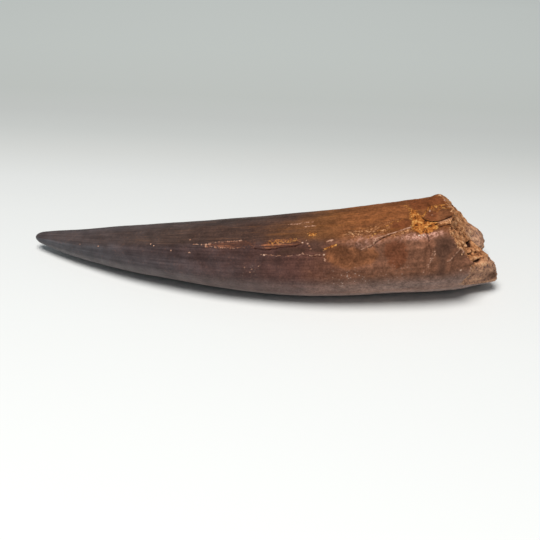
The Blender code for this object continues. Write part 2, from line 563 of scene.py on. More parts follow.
@dataclass(frozen=True)
class BrokenEnd:
    """The rough face where the root broke off, and the maps of its finish.

    Attributes:
        station: how far from the tip it is at the top of the near side.
        top: height at which that is.
        front: place across the section at which that is.
        lean: how much farther out it is for each metre down.
        skew: how much farther out it is for each metre towards the far side.
        squareness: 1 for soft lumps, more for lumps with flatter tops.
        coarse: coarse crumbs, which the solid has too.
        coarse_height: how far they stand out.
        knob_size: size of the rounded knobs.
        knob_height: how far they stand out.
        grit_size: size of the grit between them.
        grit_height: how far it stands out.
        cloud: cloudy roughness over both.
        cloud_height: how far it stands out.
        crest: heights between which the crest gets darker.
        crest_shade: how much darker it gets.
        low_part: heights between which the low part gets painted light of the pale table, which makes it
            greyer.
        low_table_light: how much of that painted light it gets.
        near_part: places across the section between which pale grit sets in.
        crumb_range: height of crumbs from the darkest tan to the lightest.
        shade_depth: depth at which the painted shade in a pit is as dark as it gets.
        pit_shade: how dark that painted shade is.
        spot_darkness: how dark the spot on the lower lobe is.
        dark_spot: where that spot is.
        lumps: the large forms, which the solid has too.
        pits: little pits and crumbs.
        pit_wobble: noise that makes the pits ragged.
        pit_bend: how far it moves them across the section.
        pit_drop: how far it moves them down the section.
    """

    station: float = 0.098
    top: float = 0.0163
    front: float = -0.0127
    lean: float = 0.60
    skew: float = -0.04
    squareness: float = 1.7
    coarse: Clouds = Clouds(0.0022, 2)
    coarse_height: float = 0.0005
    knob_size: float = 0.0013
    knob_height: float = 0.00030
    grit_size: float = 0.00055
    grit_height: float = 0.00012
    cloud: Clouds = Clouds(0.0009, 3, 5.0)
    cloud_height: float = 0.00016
    crest: Ease = Ease(0.0150, 0.0190)
    crest_shade: float = 0.1
    low_part: Ease = Ease(0.0105, 0.0065)
    low_table_light: float = 0.30
    near_part: Ease = Ease(-0.0085, -0.0100)
    crumb_range: float = 0.00075
    shade_depth: float = 0.0009
    pit_shade: float = 0.70
    spot_darkness: float = 0.48
    dark_spot: Lump = Lump(-0.0060, 0.0048, 0.0012, 0.0010, 0.0)
    lumps: tuple[Lump, ...] = (
        Lump(-0.0060, 0.0205, 0.0050, 0.0030, 0.0016),  # crest of the rim
        Lump(0.0112, 0.0052, 0.0042, 0.0029, 0.0028),  # far corner
        Lump(0.0105, 0.0100, 0.0040, 0.0030, 0.0009),  # far rim
        Lump(-0.0135, 0.0120, 0.0026, 0.0030, 0.0008),  # near rim
        Lump(-0.0115, 0.0030, 0.0048, 0.0046, -0.0045),  # bite out of the near rim, low down
        Lump(-0.0050, 0.0066, 0.0044, 0.0050, 0.0043),  # big lower lobe
        Lump(-0.0020, 0.0150, 0.0060, 0.0040, 0.0012),  # upper lobe
        Lump(0.0031, 0.0062, 0.0018, 0.0013, -0.0026),  # hollow of the pulp cavity
        Lump(0.0035, 0.0032, 0.0022, 0.0012, -0.0018),  # notch over the lower lobe
    )
    pits: tuple[Lump, ...] = (
        Lump(-0.0055, 0.0117, 0.0017, 0.0004, -0.0014),  # deepest pit, under the upper lobe
        Lump(-0.0080, 0.0124, 0.0007, 0.0004, -0.0010),  # pit beside it, by the near rim
        Lump(-0.0063, 0.0105, 0.0007, 0.0004, -0.0010),  # small pit between them
        Lump(-0.0088, 0.0108, 0.0014, 0.0003, -0.0009),  # narrow pit below them, by the near rim
        Lump(-0.0080, 0.0092, 0.0010, 0.0004, -0.0010),  # hollow in the top of the lower lobe
        Lump(-0.0087, 0.0135, 0.0007, 0.0006, 0.0006),  # crumb at the near rim
        Lump(-0.0073, 0.0113, 0.0009, 0.0004, 0.0006),  # crumb between the pits
    )
    pit_wobble: Clouds = Clouds(0.0012, 2, 7.0)
    pit_bend: float = 0.0003
    pit_drop: float = 0.00018

    def stand(self, lump: Lump, y: np.ndarray, z: np.ndarray) -> np.ndarray:
        """How much of a lump's reach it has at each place across the section.

        Args:
            lump: the lump.
            y: places across the section.
            z: places up the section.

        Returns:
            Shares from 0 to 1.
        """
        near = ((y - lump.y) / lump.width) ** 2 + ((z - lump.z) / lump.height) ** 2
        return np.exp(-(near**self.squareness))

    def crumbs(self, y: np.ndarray, z: np.ndarray) -> np.ndarray:
        """Fine roughness, over the coarse crumbs that the solid has.

        Args:
            y: places across the section.
            z: places up the section.

        Returns:
            How far each place stands out along the tooth, in metres.
        """
        flat = np.stack([np.zeros_like(y), y, z], -1)
        knobs = (grains(flat, self.knob_size) - 0.5) * self.knob_height
        grit = (grains(flat, self.grit_size) - 0.5) * self.grit_height
        return knobs + grit + self.cloud.at(flat) * self.cloud_height

    def face(self, y: np.ndarray, z: np.ndarray, crumbs: np.ndarray) -> np.ndarray:
        """Station of the broken face.

        Args:
            y: places across the section.
            z: places up the section.
            crumbs: fine roughness to add.

        Returns:
            The distance from the tip at each place.
        """
        station = self.station + self.lean * (self.top - z) + self.skew * (y - self.front) + crumbs
        for lump in self.lumps:
            station = station + lump.reach * self.stand(lump, y, z)
        flat = np.stack([np.zeros_like(y), y, z], -1)
        return station + self.coarse_height * self.coarse.at(flat) - self.pit_depth(y, z)

    def pit_depth(self, y: np.ndarray, z: np.ndarray) -> np.ndarray:
        """Depth of the ragged little pits.

        Args:
            y: places across the section.
            z: places up the section.

        Returns:
            Depths in metres, below zero on a crumb.
        """
        wobble = self.pit_wobble.at(np.stack([np.zeros_like(y), y, z], -1))
        y, z = y + self.pit_bend * wobble, z - self.pit_drop * wobble
        return -sum(pit.reach * self.stand(pit, y, z) for pit in self.pits)

    def dress(self, y: np.ndarray, z: np.ndarray, crumbs: np.ndarray) -> dict[Zone, np.ndarray]:
        """Map the zones on the broken face.

        Args:
            y: places across the section.
            z: places up the section.
            crumbs: the fine roughness there, in metres.

        Returns:
            One map for each zone.
        """
        zones = {zone: np.zeros(y.shape) for zone in Zone}
        zones[Zone.WARMTH] = zones[Zone.BROKEN] = np.ones(y.shape)
        # Low crumbs take the dark end of the broken ramp and high ones the light end: partly painted shade.
        shaded = self.crest_shade * self.crest.at(z)
        zones[Zone.RELIEF] = np.clip(0.5 + crumbs / self.crumb_range - shaded, 0.0, 1.0)
        zones[Zone.STAIN] = self.stand(self.dark_spot, y, z)
        # Pits are painted darker the deeper they are: painted shade.
        depth = np.clip(self.pit_depth(y, z) / self.shade_depth, 0.0, 1.0)
        zones[Zone.CRACK_AND_SHADE] = np.maximum(self.pit_shade * depth, self.spot_darkness * zones[Zone.STAIN])
        # painted light of the pale table on the low part of the break
        low = self.low_part.at(z)
        zones[Zone.PAINTED_TABLE_LIGHT] = self.low_table_light * low
        zones[Zone.PITTED] = low * self.near_part.at(y)
        return zones


@dataclass(frozen=True)
class SurfaceMarks:
    """Where the colours, the scars and the fine relief of the side lie.

    Attributes:
        warmth: how far the colour has turned from the crown's to the root's, by station.
        wear_streak: the two long marks where the ridge is rubbed.
        worn_plates: stained flakes below them, and a spot of grit.
        spall: enamel spalled off the front.
        red_oval: red-brown oval beside it.
        slab: red-brown slab in the flake scar above the ridge.
        tan_patches: places where tan or red dentine shows through.
        red_band: red-brown band around the lens-shaped scar.
        lens_scar: that scar.
        sediment: hollows packed with ochre sediment.
        stain: grey-brown stain along the front of the rim.
        facet: chipped facet at the front of the rim.
        oval_pit: small pit in the crack across the ridge.
        cracks_and_shadow: lines that are sunk in, or dark, one of them a painted shadow under the lip of the
            flake scar.
        lips: lines that stand up, such as the lips of scars.
        specks_and_glints: pale specks, and painted glints of light.
        ridge_shine: how strong the crinkles on the ridge and their painted highlight are, by station.
        pitted: fields of pinholes.
    """

    warmth: Curve = Curve(
        (
            (0.0, 0.0), (0.012, 0.08), (0.033, 0.28), (0.044, 0.40), (0.054, 0.48), (0.065, 0.68),
            (0.076, 0.92), (0.112, 1.0),
        )
    )
    wear_streak: tuple[Plate, ...] = (
        # first mark, halfway along the crown
        Plate(
            (
                (0.0447, 43.0), (0.0460, 47.5), (0.0500, 50.5), (0.0535, 51.5), (0.0560, 48.0),
                (0.0555, 42.0), (0.0500, 41.0), (0.0455, 41.5),
            ),
            height=-0.00004, slope=0.0005, zone=Zone.WEAR, strength=0.8,
        ),
        # second mark, nearer to the root
        Plate(
            (
                (0.0576, 45.0), (0.0591, 51.0), (0.0620, 53.0), (0.0655, 50.0), (0.0662, 45.0),
                (0.0640, 42.0), (0.0612, 40.5), (0.0585, 39.0),
            ),
            height=-0.00006, slope=0.0005, zone=Zone.WEAR, strength=1.15,
        ),
    )
    worn_plates: tuple[Plate, ...] = (
        # stained flake under the second mark
        Plate(
            ((0.0606, 30.0), (0.0637, 30.0), (0.0665, 31.0), (0.0667, 36.0), (0.0649, 40.0), (0.0615, 38.0)),
            height=-0.00006, zone=Zone.STAIN,
        ),
        # stained flake at its end
        Plate(
            ((0.0678, 46.0), (0.0708, 46.0), (0.0704, 38.0), (0.0711, 31.0), (0.0684, 32.0), (0.0672, 40.0)),
            height=-0.00005, zone=Zone.STAIN,
        ),
        # spot of grit above the ridge
        Plate(
            ((0.0672, 62.0), (0.0690, 60.0), (0.0694, 53.0), (0.0680, 52.0), (0.0670, 57.0)),
            zone=Zone.SEDIMENT, strength=0.55,
        ),
    )
    spall: Plate = Plate(
        (
            (0.0712, 36.0), (0.0722, 38.0), (0.0740, 40.0), (0.0767, 37.0), (0.0790, 32.0),
            (0.0814, 34.5), (0.0827, 25.0), (0.0811, 14.0), (0.0766, 9.0), (0.0735, 13.0), (0.0716, 19.0),
            (0.0713, 27.0),
        ),
        zone=Zone.WINDOW,
    )
    red_oval: Plate = Plate(
        (
            (0.0836, 37.0), (0.0855, 40.0), (0.0877, 36.0), (0.0884, 26.0), (0.0882, 14.0), (0.0868, 6.0),
            (0.0849, 10.0), (0.0835, 23.0),
        ),
        slope=0.0008, zone=Zone.RED,
    )
    slab: Plate = Plate(
        (
            (0.0848, 56.0), (0.0848, 64.0), (0.0866, 66.0), (0.0878, 66.0), (0.0888, 62.0),
            (0.0888, 56.5), (0.0870, 54.5),
        ),
        height=0.00006, zone=Zone.RED, strength=1.1,
    )
    tan_patches: tuple[Plate, ...] = (
        # long band above the ridge
        Plate(
            (
                (0.0735, 50.0), (0.0760, 60.0), (0.0800, 64.0), (0.0840, 68.0), (0.0880, 70.0),
                (0.0882, 67.0), (0.0846, 62.0), (0.0844, 52.0), (0.0815, 49.0), (0.0780, 48.0),
            ),
            zone=Zone.BROKEN, strength=0.38,
        ),
        # second wear mark
        Plate(
            ((0.0588, 45.5), (0.0600, 50.0), (0.0640, 51.0), (0.0657, 47.0), (0.0620, 44.5)),
            zone=Zone.BROKEN, strength=0.54,
        ),
        # block under the lens-shaped scar
        Plate(
            (
                (0.0946, 60.0), (0.0960, 61.0), (0.0974, 66.0), (0.0990, 66.0), (0.0990, 53.0),
                (0.0964, 52.5), (0.0946, 54.0),
            ),
            zone=Zone.BROKEN, strength=0.8,
        ),
        # lower edge of the flake scar
        Plate(
            (
                (0.0828, 46.5), (0.0850, 49.0), (0.0875, 53.0), (0.0887, 54.0), (0.0887, 47.0),
                (0.0860, 45.0), (0.0835, 44.0),
            ),
            zone=Zone.BROKEN, strength=0.5,
        ),
        # red left part of the lens-shaped scar
        Plate(
            ((0.0915, 67.0), (0.0917, 76.0), (0.0924, 82.0), (0.0942, 82.0), (0.0944, 72.0), (0.0942, 62.5)),
            zone=Zone.RED,
        ),
    )
    red_band: Plate = Plate(
        (
            (0.0877, 113.0), (0.0916, 109.0), (0.0950, 98.0), (0.0965, 86.0), (0.0941, 86.0),
            (0.0913, 84.0), (0.0890, 82.0), (0.0883, 94.0),
        ),
        slope=0.0005, zone=Zone.RED,
    )
    lens_scar: Plate = Plate(
        (
            (0.0911, 68.0), (0.0914, 76.0), (0.0921, 84.0), (0.0934, 83.0), (0.0948, 85.0),
            (0.0968, 82.0), (0.0975, 71.0), (0.0966, 65.0), (0.0951, 61.0), (0.0938, 63.0),
            (0.0924, 66.0),
        ),
        height=-0.00010, zone=Zone.WINDOW,
    )
    sediment: tuple[Plate, ...] = (
        # big hollow above the ridge
        Plate(
            (
                (0.0883, 84.0), (0.0884, 77.0), (0.0881, 72.0), (0.0889, 63.0), (0.0889, 51.0),
                (0.0904, 44.5), (0.0924, 44.0), (0.0942, 49.0), (0.0944, 57.0), (0.0928, 65.0),
                (0.0909, 72.0), (0.0898, 79.0), (0.0891, 84.0),
            ),
            height=0.00004, slope=0.0005, zone=Zone.SEDIMENT,
        ),
        # spall at the back of the rim
        Plate(
            (
                (0.0845, 172.0), (0.0890, 178.0), (0.0935, 170.0), (0.0925, 156.0), (0.0880, 152.0),
                (0.0855, 160.0),
            ),
            slope=0.0003, zone=Zone.SEDIMENT,
        ),
        # nick in the rear ridge
        Plate(
            ((0.0860, 218.0), (0.0885, 224.0), (0.0910, 216.0), (0.0895, 208.0), (0.0870, 210.0)),
            slope=0.0003, zone=Zone.SEDIMENT,
        ),
    )
    stain: Plate = Plate(
        (
            (0.0936, 37.0), (0.0971, 36.0), (0.0988, 27.0), (0.0973, 20.0), (0.0965, 12.0), (0.0967, 0.0),
            (0.0962, -12.0), (0.0948, -6.0), (0.0950, 8.0), (0.0943, 20.0),
        ),
        slope=0.0006, zone=Zone.STAIN,
    )
    facet: Plate = Plate(
        (
            (0.1000, 26.0), (0.0983, 16.5), (0.0976, 10.5), (0.0979, -6.0), (0.1005, -20.0),
            (0.1030, -22.0), (0.1030, 2.0), (0.1028, 12.0), (0.1005, 20.0),
        ),
        height=-0.00015, slope=0.0002,
    )
    oval_pit: Plate = Plate(
        ((0.0921, 29.0), (0.0929, 30.0), (0.0933, 25.0), (0.0929, 20.0), (0.0922, 23.0)),
        height=-0.00018, slope=0.0002,
    )
    cracks_and_shadow: tuple[Trace, ...] = (
        # pale and dark edges of the stained flakes
        Trace(
            ((0.0575, 30.5), (0.0624, 28.0), (0.0656, 29.0), (0.0664, 32.0)),
            width=0.00016, height=-0.00010, pale=0.5,
        ),
        Trace(
            ((0.0664, 31.0), (0.0680, 28.0), (0.0706, 29.0), (0.0711, 24.0), (0.0713, 20.0)),
            width=0.00016, height=-0.00012, pale=0.52,
        ),
        Trace(((0.0664, 29.5), (0.0682, 26.5), (0.0705, 27.0)), width=0.00016, height=-0.00008, dark=0.62),
        # crack across the ridge
        Trace(((0.0920, 46.0), (0.0922, 42.0), (0.0926, 35.0)), width=0.00015, height=-0.00022, dark=0.68),
        Trace(((0.0924, 34.0), (0.0931, 24.0), (0.0936, 12.0)), width=0.00020, height=-0.00012, dark=0.5),
        Trace(
            ((0.0934, 14.0), (0.0932, 9.0), (0.0926, 4.0), (0.0920, 0.0)),
            width=0.00045, height=0.00004, pale=0.46,
        ),
        # sunk line under the lip of the flake scar, painted dark as the lip's shadow
        Trace(((0.0806, 35.0), (0.0817, 40.0), (0.0830, 44.0), (0.0846, 47.0)), height=-0.0001, dark=0.6),
        # dark lower outline of the lens-shaped scar
        Trace(
            ((0.0911, 71.0), (0.0918, 66.0), (0.0931, 62.5), (0.0945, 60.5), (0.0958, 61.5), (0.0970, 65.5)),
            width=0.00028, height=-0.00028, dark=0.76,
        ),
        # holes in the sediment, and its trail up the side
        Trace(((0.0926, 55.5), (0.0930, 56.0)), width=0.0002, height=-0.0002, dark=0.8),
        Trace(((0.0938, 55.0), (0.0941, 56.0)), width=0.0002, height=-0.0002, dark=0.8),
        Trace(((0.0915, 51.0), (0.0918, 51.5)), width=0.0002, height=-0.0002, dark=0.75),
        Trace(((0.0872, 98.0), (0.0880, 90.0), (0.0884, 84.0)), width=0.0003, height=0.0, ochre=0.48),
        # whorl beside the oval pit
        Trace(((0.0934, 25.0), (0.0937, 22.0), (0.0935, 19.0)), width=0.00014, height=0.00008, pale=0.58),
        Trace(((0.0940, 23.0), (0.0941, 20.0), (0.0938, 17.0)), width=0.00014, height=0.00008, pale=0.58),
        Trace(((0.0937, 24.0), (0.0939, 20.0), (0.0937, 17.0)), width=0.00014, height=-0.0001, dark=0.6),
        # crack under the block
        Trace(((0.0945, 50.0), (0.0962, 51.5), (0.0979, 52.0)), height=-0.00022, dark=0.7),
        # hairline cracks at the back
        Trace(
            ((0.0790, 178.0), (0.0850, 170.0), (0.0900, 176.0), (0.0950, 172.0)),
            width=0.0002, height=-0.00024, dark=0.7,
        ),
        Trace(((0.0520, 205.0), (0.0600, 208.0), (0.0690, 203.0)), width=0.00016, height=-0.00014, dark=0.6),
        Trace(((0.0600, 128.0), (0.0680, 133.0), (0.0770, 129.0)), width=0.00016, height=-0.00012, dark=0.6),
        # groove under the ridge of the crown
        Trace(
            ((0.0060, 28.0), (0.0180, 33.0), (0.0340, 39.0), (0.0450, 39.0), (0.0560, 38.5)),
            width=0.0002, height=-0.00005,
        ),
        Trace(
            ((0.0560, 39.0), (0.0588, 37.0), (0.0613, 39.0), (0.0646, 41.0), (0.0660, 43.0)),
            height=-0.0001, dark=0.62,
        ),
    )
    lips: tuple[Trace, ...] = (
        # lower lip of the flake scar
        Trace(
            (
                (0.0787, 33.0), (0.0809, 37.0), (0.0816, 44.0), (0.0834, 47.0), (0.0856, 50.0),
                (0.0873, 53.0), (0.0886, 55.0),
            ),
            height=0.00016, pale=0.72,
        ),
        # ochre at the left end of the spall, and a pale nick above it
        Trace(((0.0709, 36.0), (0.0720, 37.5), (0.0734, 40.0)), width=0.0002, height=0.00010, ochre=0.7),
        Trace(((0.0715, 45.0), (0.0725, 46.0)), width=0.0002, height=0.00010, pale=0.75),
        # upper lip of the flake scar
        Trace(
            ((0.0799, 45.0), (0.0812, 50.0), (0.0826, 59.0), (0.0852, 65.0), (0.0882, 67.5)),
            width=0.00025, height=0.00006, ochre=0.5,
        ),
        # edges of the chipped facet
        Trace(
            ((0.1000, 26.0), (0.0983, 16.5), (0.0976, 11.5), (0.0969, 9.5)),
            width=0.0002, height=0.00018, pale=0.64,
        ),
        Trace(
            ((0.0998, 25.0), (0.1002, 17.0), (0.1020, 10.0), (0.1023, 0.0), (0.1020, -8.0), (0.1016, -22.0)),
            width=0.0002, height=0.00012, pale=0.62,
        ),
        # left and upper edges of the lens-shaped scar
        Trace(((0.0911, 71.0), (0.0915, 78.0), (0.0923, 84.0)), width=0.0002, height=0.00010, ochre=0.66),
        Trace(((0.0926, 86.0), (0.0944, 85.0), (0.0962, 87.0)), width=0.0004, height=0.00006, ochre=0.62),
        Trace(((0.0938, 80.0), (0.0952, 82.0), (0.0968, 81.0)), width=0.0003, height=0.00006, ochre=0.5),
        # upper edge of the block
        Trace(((0.0944, 57.0), (0.0960, 58.0), (0.0974, 63.0)), width=0.00020, height=0.00012, pale=0.6),
        # outline of the first wear mark
        Trace(((0.0420, 44.5), (0.0445, 45.5), (0.0460, 46.0)), height=0.00004, pale=0.5),
        Trace(((0.0456, 47.5), (0.0500, 50.0), (0.0530, 51.0)), height=0.00004, pale=0.48),
        Trace(((0.0450, 42.0), (0.0490, 41.0), (0.0524, 40.0)), height=0.00004, pale=0.5),
        # pale scratches above the ridge
        Trace(((0.0626, 78.0), (0.0651, 78.0), (0.0679, 80.0)), height=0.00003, pale=0.6),
        Trace(((0.0660, 70.0), (0.0684, 71.0)), height=0.00003, pale=0.58),
        # ochre thread in the second wear mark
        Trace(((0.0592, 46.5), (0.0614, 48.5), (0.0646, 48.5)), width=0.0005, height=0.0, ochre=0.44),
    )
    specks_and_glints: tuple[Patch, ...] = (
        # painted glint
        Patch(0.0135, 31.0, 0.00030, 2.6, 0.5),
        Patch(0.0188, 31.5, 0.00026, 2.0, 0.85),
        Patch(0.0205, 32.5, 0.00030, 2.0, 0.5),
        Patch(0.0322, 44.5, 0.00026, 1.8, 0.8),
        Patch(0.0330, 41.5, 0.00026, 1.6, 0.9),
        Patch(0.0372, 34.0, 0.00026, 1.6, 0.85),
        Patch(0.0412, 54.5, 0.00026, 1.6, 0.8),
        # painted glint
        Patch(0.0415, 32.0, 0.00035, 1.8, 0.6),
        Patch(0.0451, 45.5, 0.00030, 1.6, 0.8),
        Patch(0.0452, 42.5, 0.00030, 1.6, 0.85),
        Patch(0.0461, 45.0, 0.00028, 1.4, 0.8),
        Patch(0.0673, 43.5, 0.00024, 1.3, 0.8),
        # painted glints on the crest of the ridge
        Patch(0.0905, 43.0, 0.00045, 1.2),
        Patch(0.0914, 42.5, 0.00035, 1.2),
        Patch(0.0894, 42.0, 0.00030, 1.0, 0.85),
        Patch(0.0872, 42.5, 0.00030, 1.2, 0.7),
        Patch(0.0582, 30.0, 0.00028, 1.6),
        Patch(0.0541, 12.0, 0.00020, 1.2, 0.75),
        Patch(0.0556, 9.0, 0.00022, 1.2, 0.85),
        Patch(0.0553, 4.0, 0.00022, 1.2, 0.85),
        Patch(0.0549, 16.0, 0.00018, 1.0, 0.75),
        Patch(0.0563, 1.0, 0.00018, 1.0, 0.75),
        Patch(0.0571, 14.0, 0.00018, 1.0, 0.7),
        Patch(0.0662, 45.0, 0.00030, 1.4, 0.95),
        Patch(0.0670, 48.0, 0.00022, 1.0, 0.8),
        Patch(0.0677, 40.0, 0.00030, 1.6, 0.75),
        Patch(0.0680, 36.5, 0.00026, 1.4, 0.7),
        Patch(0.0709, 28.5, 0.00036, 1.6, 0.9),
        Patch(0.0712, 22.0, 0.00028, 1.6, 0.8),
        Patch(0.0893, 46.0, 0.00035, 1.4, 0.8),
        Patch(0.0945, 44.0, 0.00040, 1.6, 0.8),
        Patch(0.0999, -6.0, 0.00036, 1.6, 0.95),
        Patch(0.0958, 95.0, 0.00040, 2.0, 0.8),
        Patch(0.0926, 81.0, 0.00024, 1.5, 0.85),
        Patch(0.0931, 75.5, 0.00026, 1.6, 0.8),
    )
    ridge_shine: Curve = Curve(
        (
            (0.0, 0.0), (0.074, 0.0), (0.077, 0.4), (0.0815, 0.6), (0.083, 0.3), (0.086, 0.35),
            (0.0875, 1.0), (0.0948, 1.0), (0.0958, 0.3), (0.098, 0.1),
        )
    )
    pitted: tuple[Patch, ...] = (
        Patch(0.0766, -8.0, 0.0050, 17.0, 0.65, 1.5),  # under the spall
        Patch(0.0860, -12.0, 0.0060, 20.0, 0.4, 1.0),  # under the red oval
        Patch(0.0552, 8.0, 0.0030, 10.0, 0.3, 1.0),  # on the front at mid length
        Patch(0.0760, 140.0, 0.0060, 25.0, 0.7, 1.0),  # on the back
    )

    def plates(self) -> tuple[Plate, ...]:
        """All patches that have an outline, in the order in which they are laid."""
        scars = (self.spall, self.red_oval, self.slab, self.red_band, self.lens_scar)
        return (
            self.wear_streak
            + self.worn_plates
            + scars
            + self.tan_patches
            + self.sediment
            + (self.stain, self.facet, self.oval_pit)
        )


@dataclass(frozen=True)
class Weathering:
    """Fine relief of the side, and how its soft zones fade into one another.

    Sizes and heights are metres, turns are degrees around the section, and the other
    numbers are shares. An Ease reads stations, or turns where its comment says so.
    """

    broad: Clouds = Clouds(0.0024, 3, 3.0)
    fine: Clouds = Clouds(0.0009, 2, 9.0)
    plate_bend: Bend = Bend(0.00030, 0.00022, 1.3, 1.1)
    line_bend: Bend = Bend(0.00012, 0.00020, 0.6, 1.1)
    line_halo: float = 1.5

    # The warm colour starts later on the back than on the front.
    warm_mottle: float = 0.05
    back_delay: float = 0.14
    top_angle: float = 75.0
    behind_top: Ease = Ease(0.0, 25.0)  # turns from top_angle
    before_root: Ease = Ease(0.076, 0.064)

    # The upper side starts at the ridge, softly at the tip, and ends at the rear ridge.
    upper_start: float = 1.0
    upper_spread: float = 14.0
    tip_spread: float = 20.0
    near_tip: Ease = Ease(0.035, 0.0)
    upper_mottle: float = 2.0
    rear_angle: float = 205.0
    rear_spread: float = 20.0

    # Painted light and reflection of the pale table: the flank gets lighter and greyer below the front, and
    # once more on the underside.
    flank: Ease = Ease(0.0, 24.0)  # turns below the front
    underside: Ease = Ease(33.0, 50.0)  # turns below the front
    behind: Ease = Ease(160.0, 120.0)  # turns below the front
    root: Ease = Ease(0.058, 0.088)
    past_tip: Ease = Ease(0.030, 0.055)
    flank_table_light: float = 0.20
    root_table_light: float = 0.16
    underside_table_light: float = 0.36
    tip_table_light: float = 0.8

    # Painted shade: a darker band runs just below the ridge of the crown.
    painted_shade_turn: float = 8.0
    painted_shade_spread: float = 14.0
    painted_shade_start: Ease = Ease(0.018, 0.028)
    painted_shade_end: Ease = Ease(0.074, 0.064)

    # Crinkles on the crest, with their painted highlight, which is narrower where the sediment starts.
    strokes: Clouds = Clouds(0.0011, 2, 17.0)
    stroke_level: float = 1.15
    stroke_contrast: float = 3.8
    stroke_least: float = 0.15
    crest_spread: float = 3.6
    wide_crest_spread: float = 2.6
    before_sediment: Ease = Ease(0.084, 0.082)
    crinkle_height: float = 0.00009

    # Flutes, from noise that is drawn out along the tooth, and roughness.
    flutes: Clouds = Clouds(0.00055, 2, 1.0)
    flute_radius: float = 0.010
    flute_stretch: float = 0.06
    flute_height: float = 0.000020
    upper_flute_height: float = 0.000030
    flute_start: float = 0.020
    flute_least: float = 0.2
    rough_end: Ease = Ease(0.068, 0.094)
    broad_height: float = 0.000025
    rough_broad_height: float = 0.00008
    fine_height: float = 0.000006
    rough_fine_height: float = 0.00005
    relief_contrast: float = 0.3

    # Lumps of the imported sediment, where its map is well past its border.
    sediment: Clouds = Clouds(0.0008, 2, 21.0)
    packed: Ease = Ease(0.25, 0.75)  # shares of the sediment
    sediment_height: float = 0.00020
    sediment_grit: float = 0.00006

    # Pinholes, specks, and the rounded and frayed rim.
    holes: Clouds = Clouds(0.0005, 1, 12.0)
    hole_level: float = 0.28
    hole_range: float = 0.3
    hole_depth: float = 0.00010
    speck_height: float = 0.00006
    rim_round: float = 0.00035
    rim_reach: float = 0.0007
    rim_edge: float = 1.5
    rim_inset: float = 0.00005
    rim_fine: float = 0.0005
    rim_broad: float = 0.0007

    def wobble(self, surface: Surface) -> Wobble:
        """Read the noise that bends and roughens everything.

        Args:
            surface: places on the side.

        Returns:
            The noise there.
        """
        turn = np.radians(surface.angle)
        place = np.stack([surface.station, surface.radius * np.cos(turn), surface.radius * np.sin(turn)], -1)
        return Wobble(place, self.broad.at(place), self.fine.at(place))


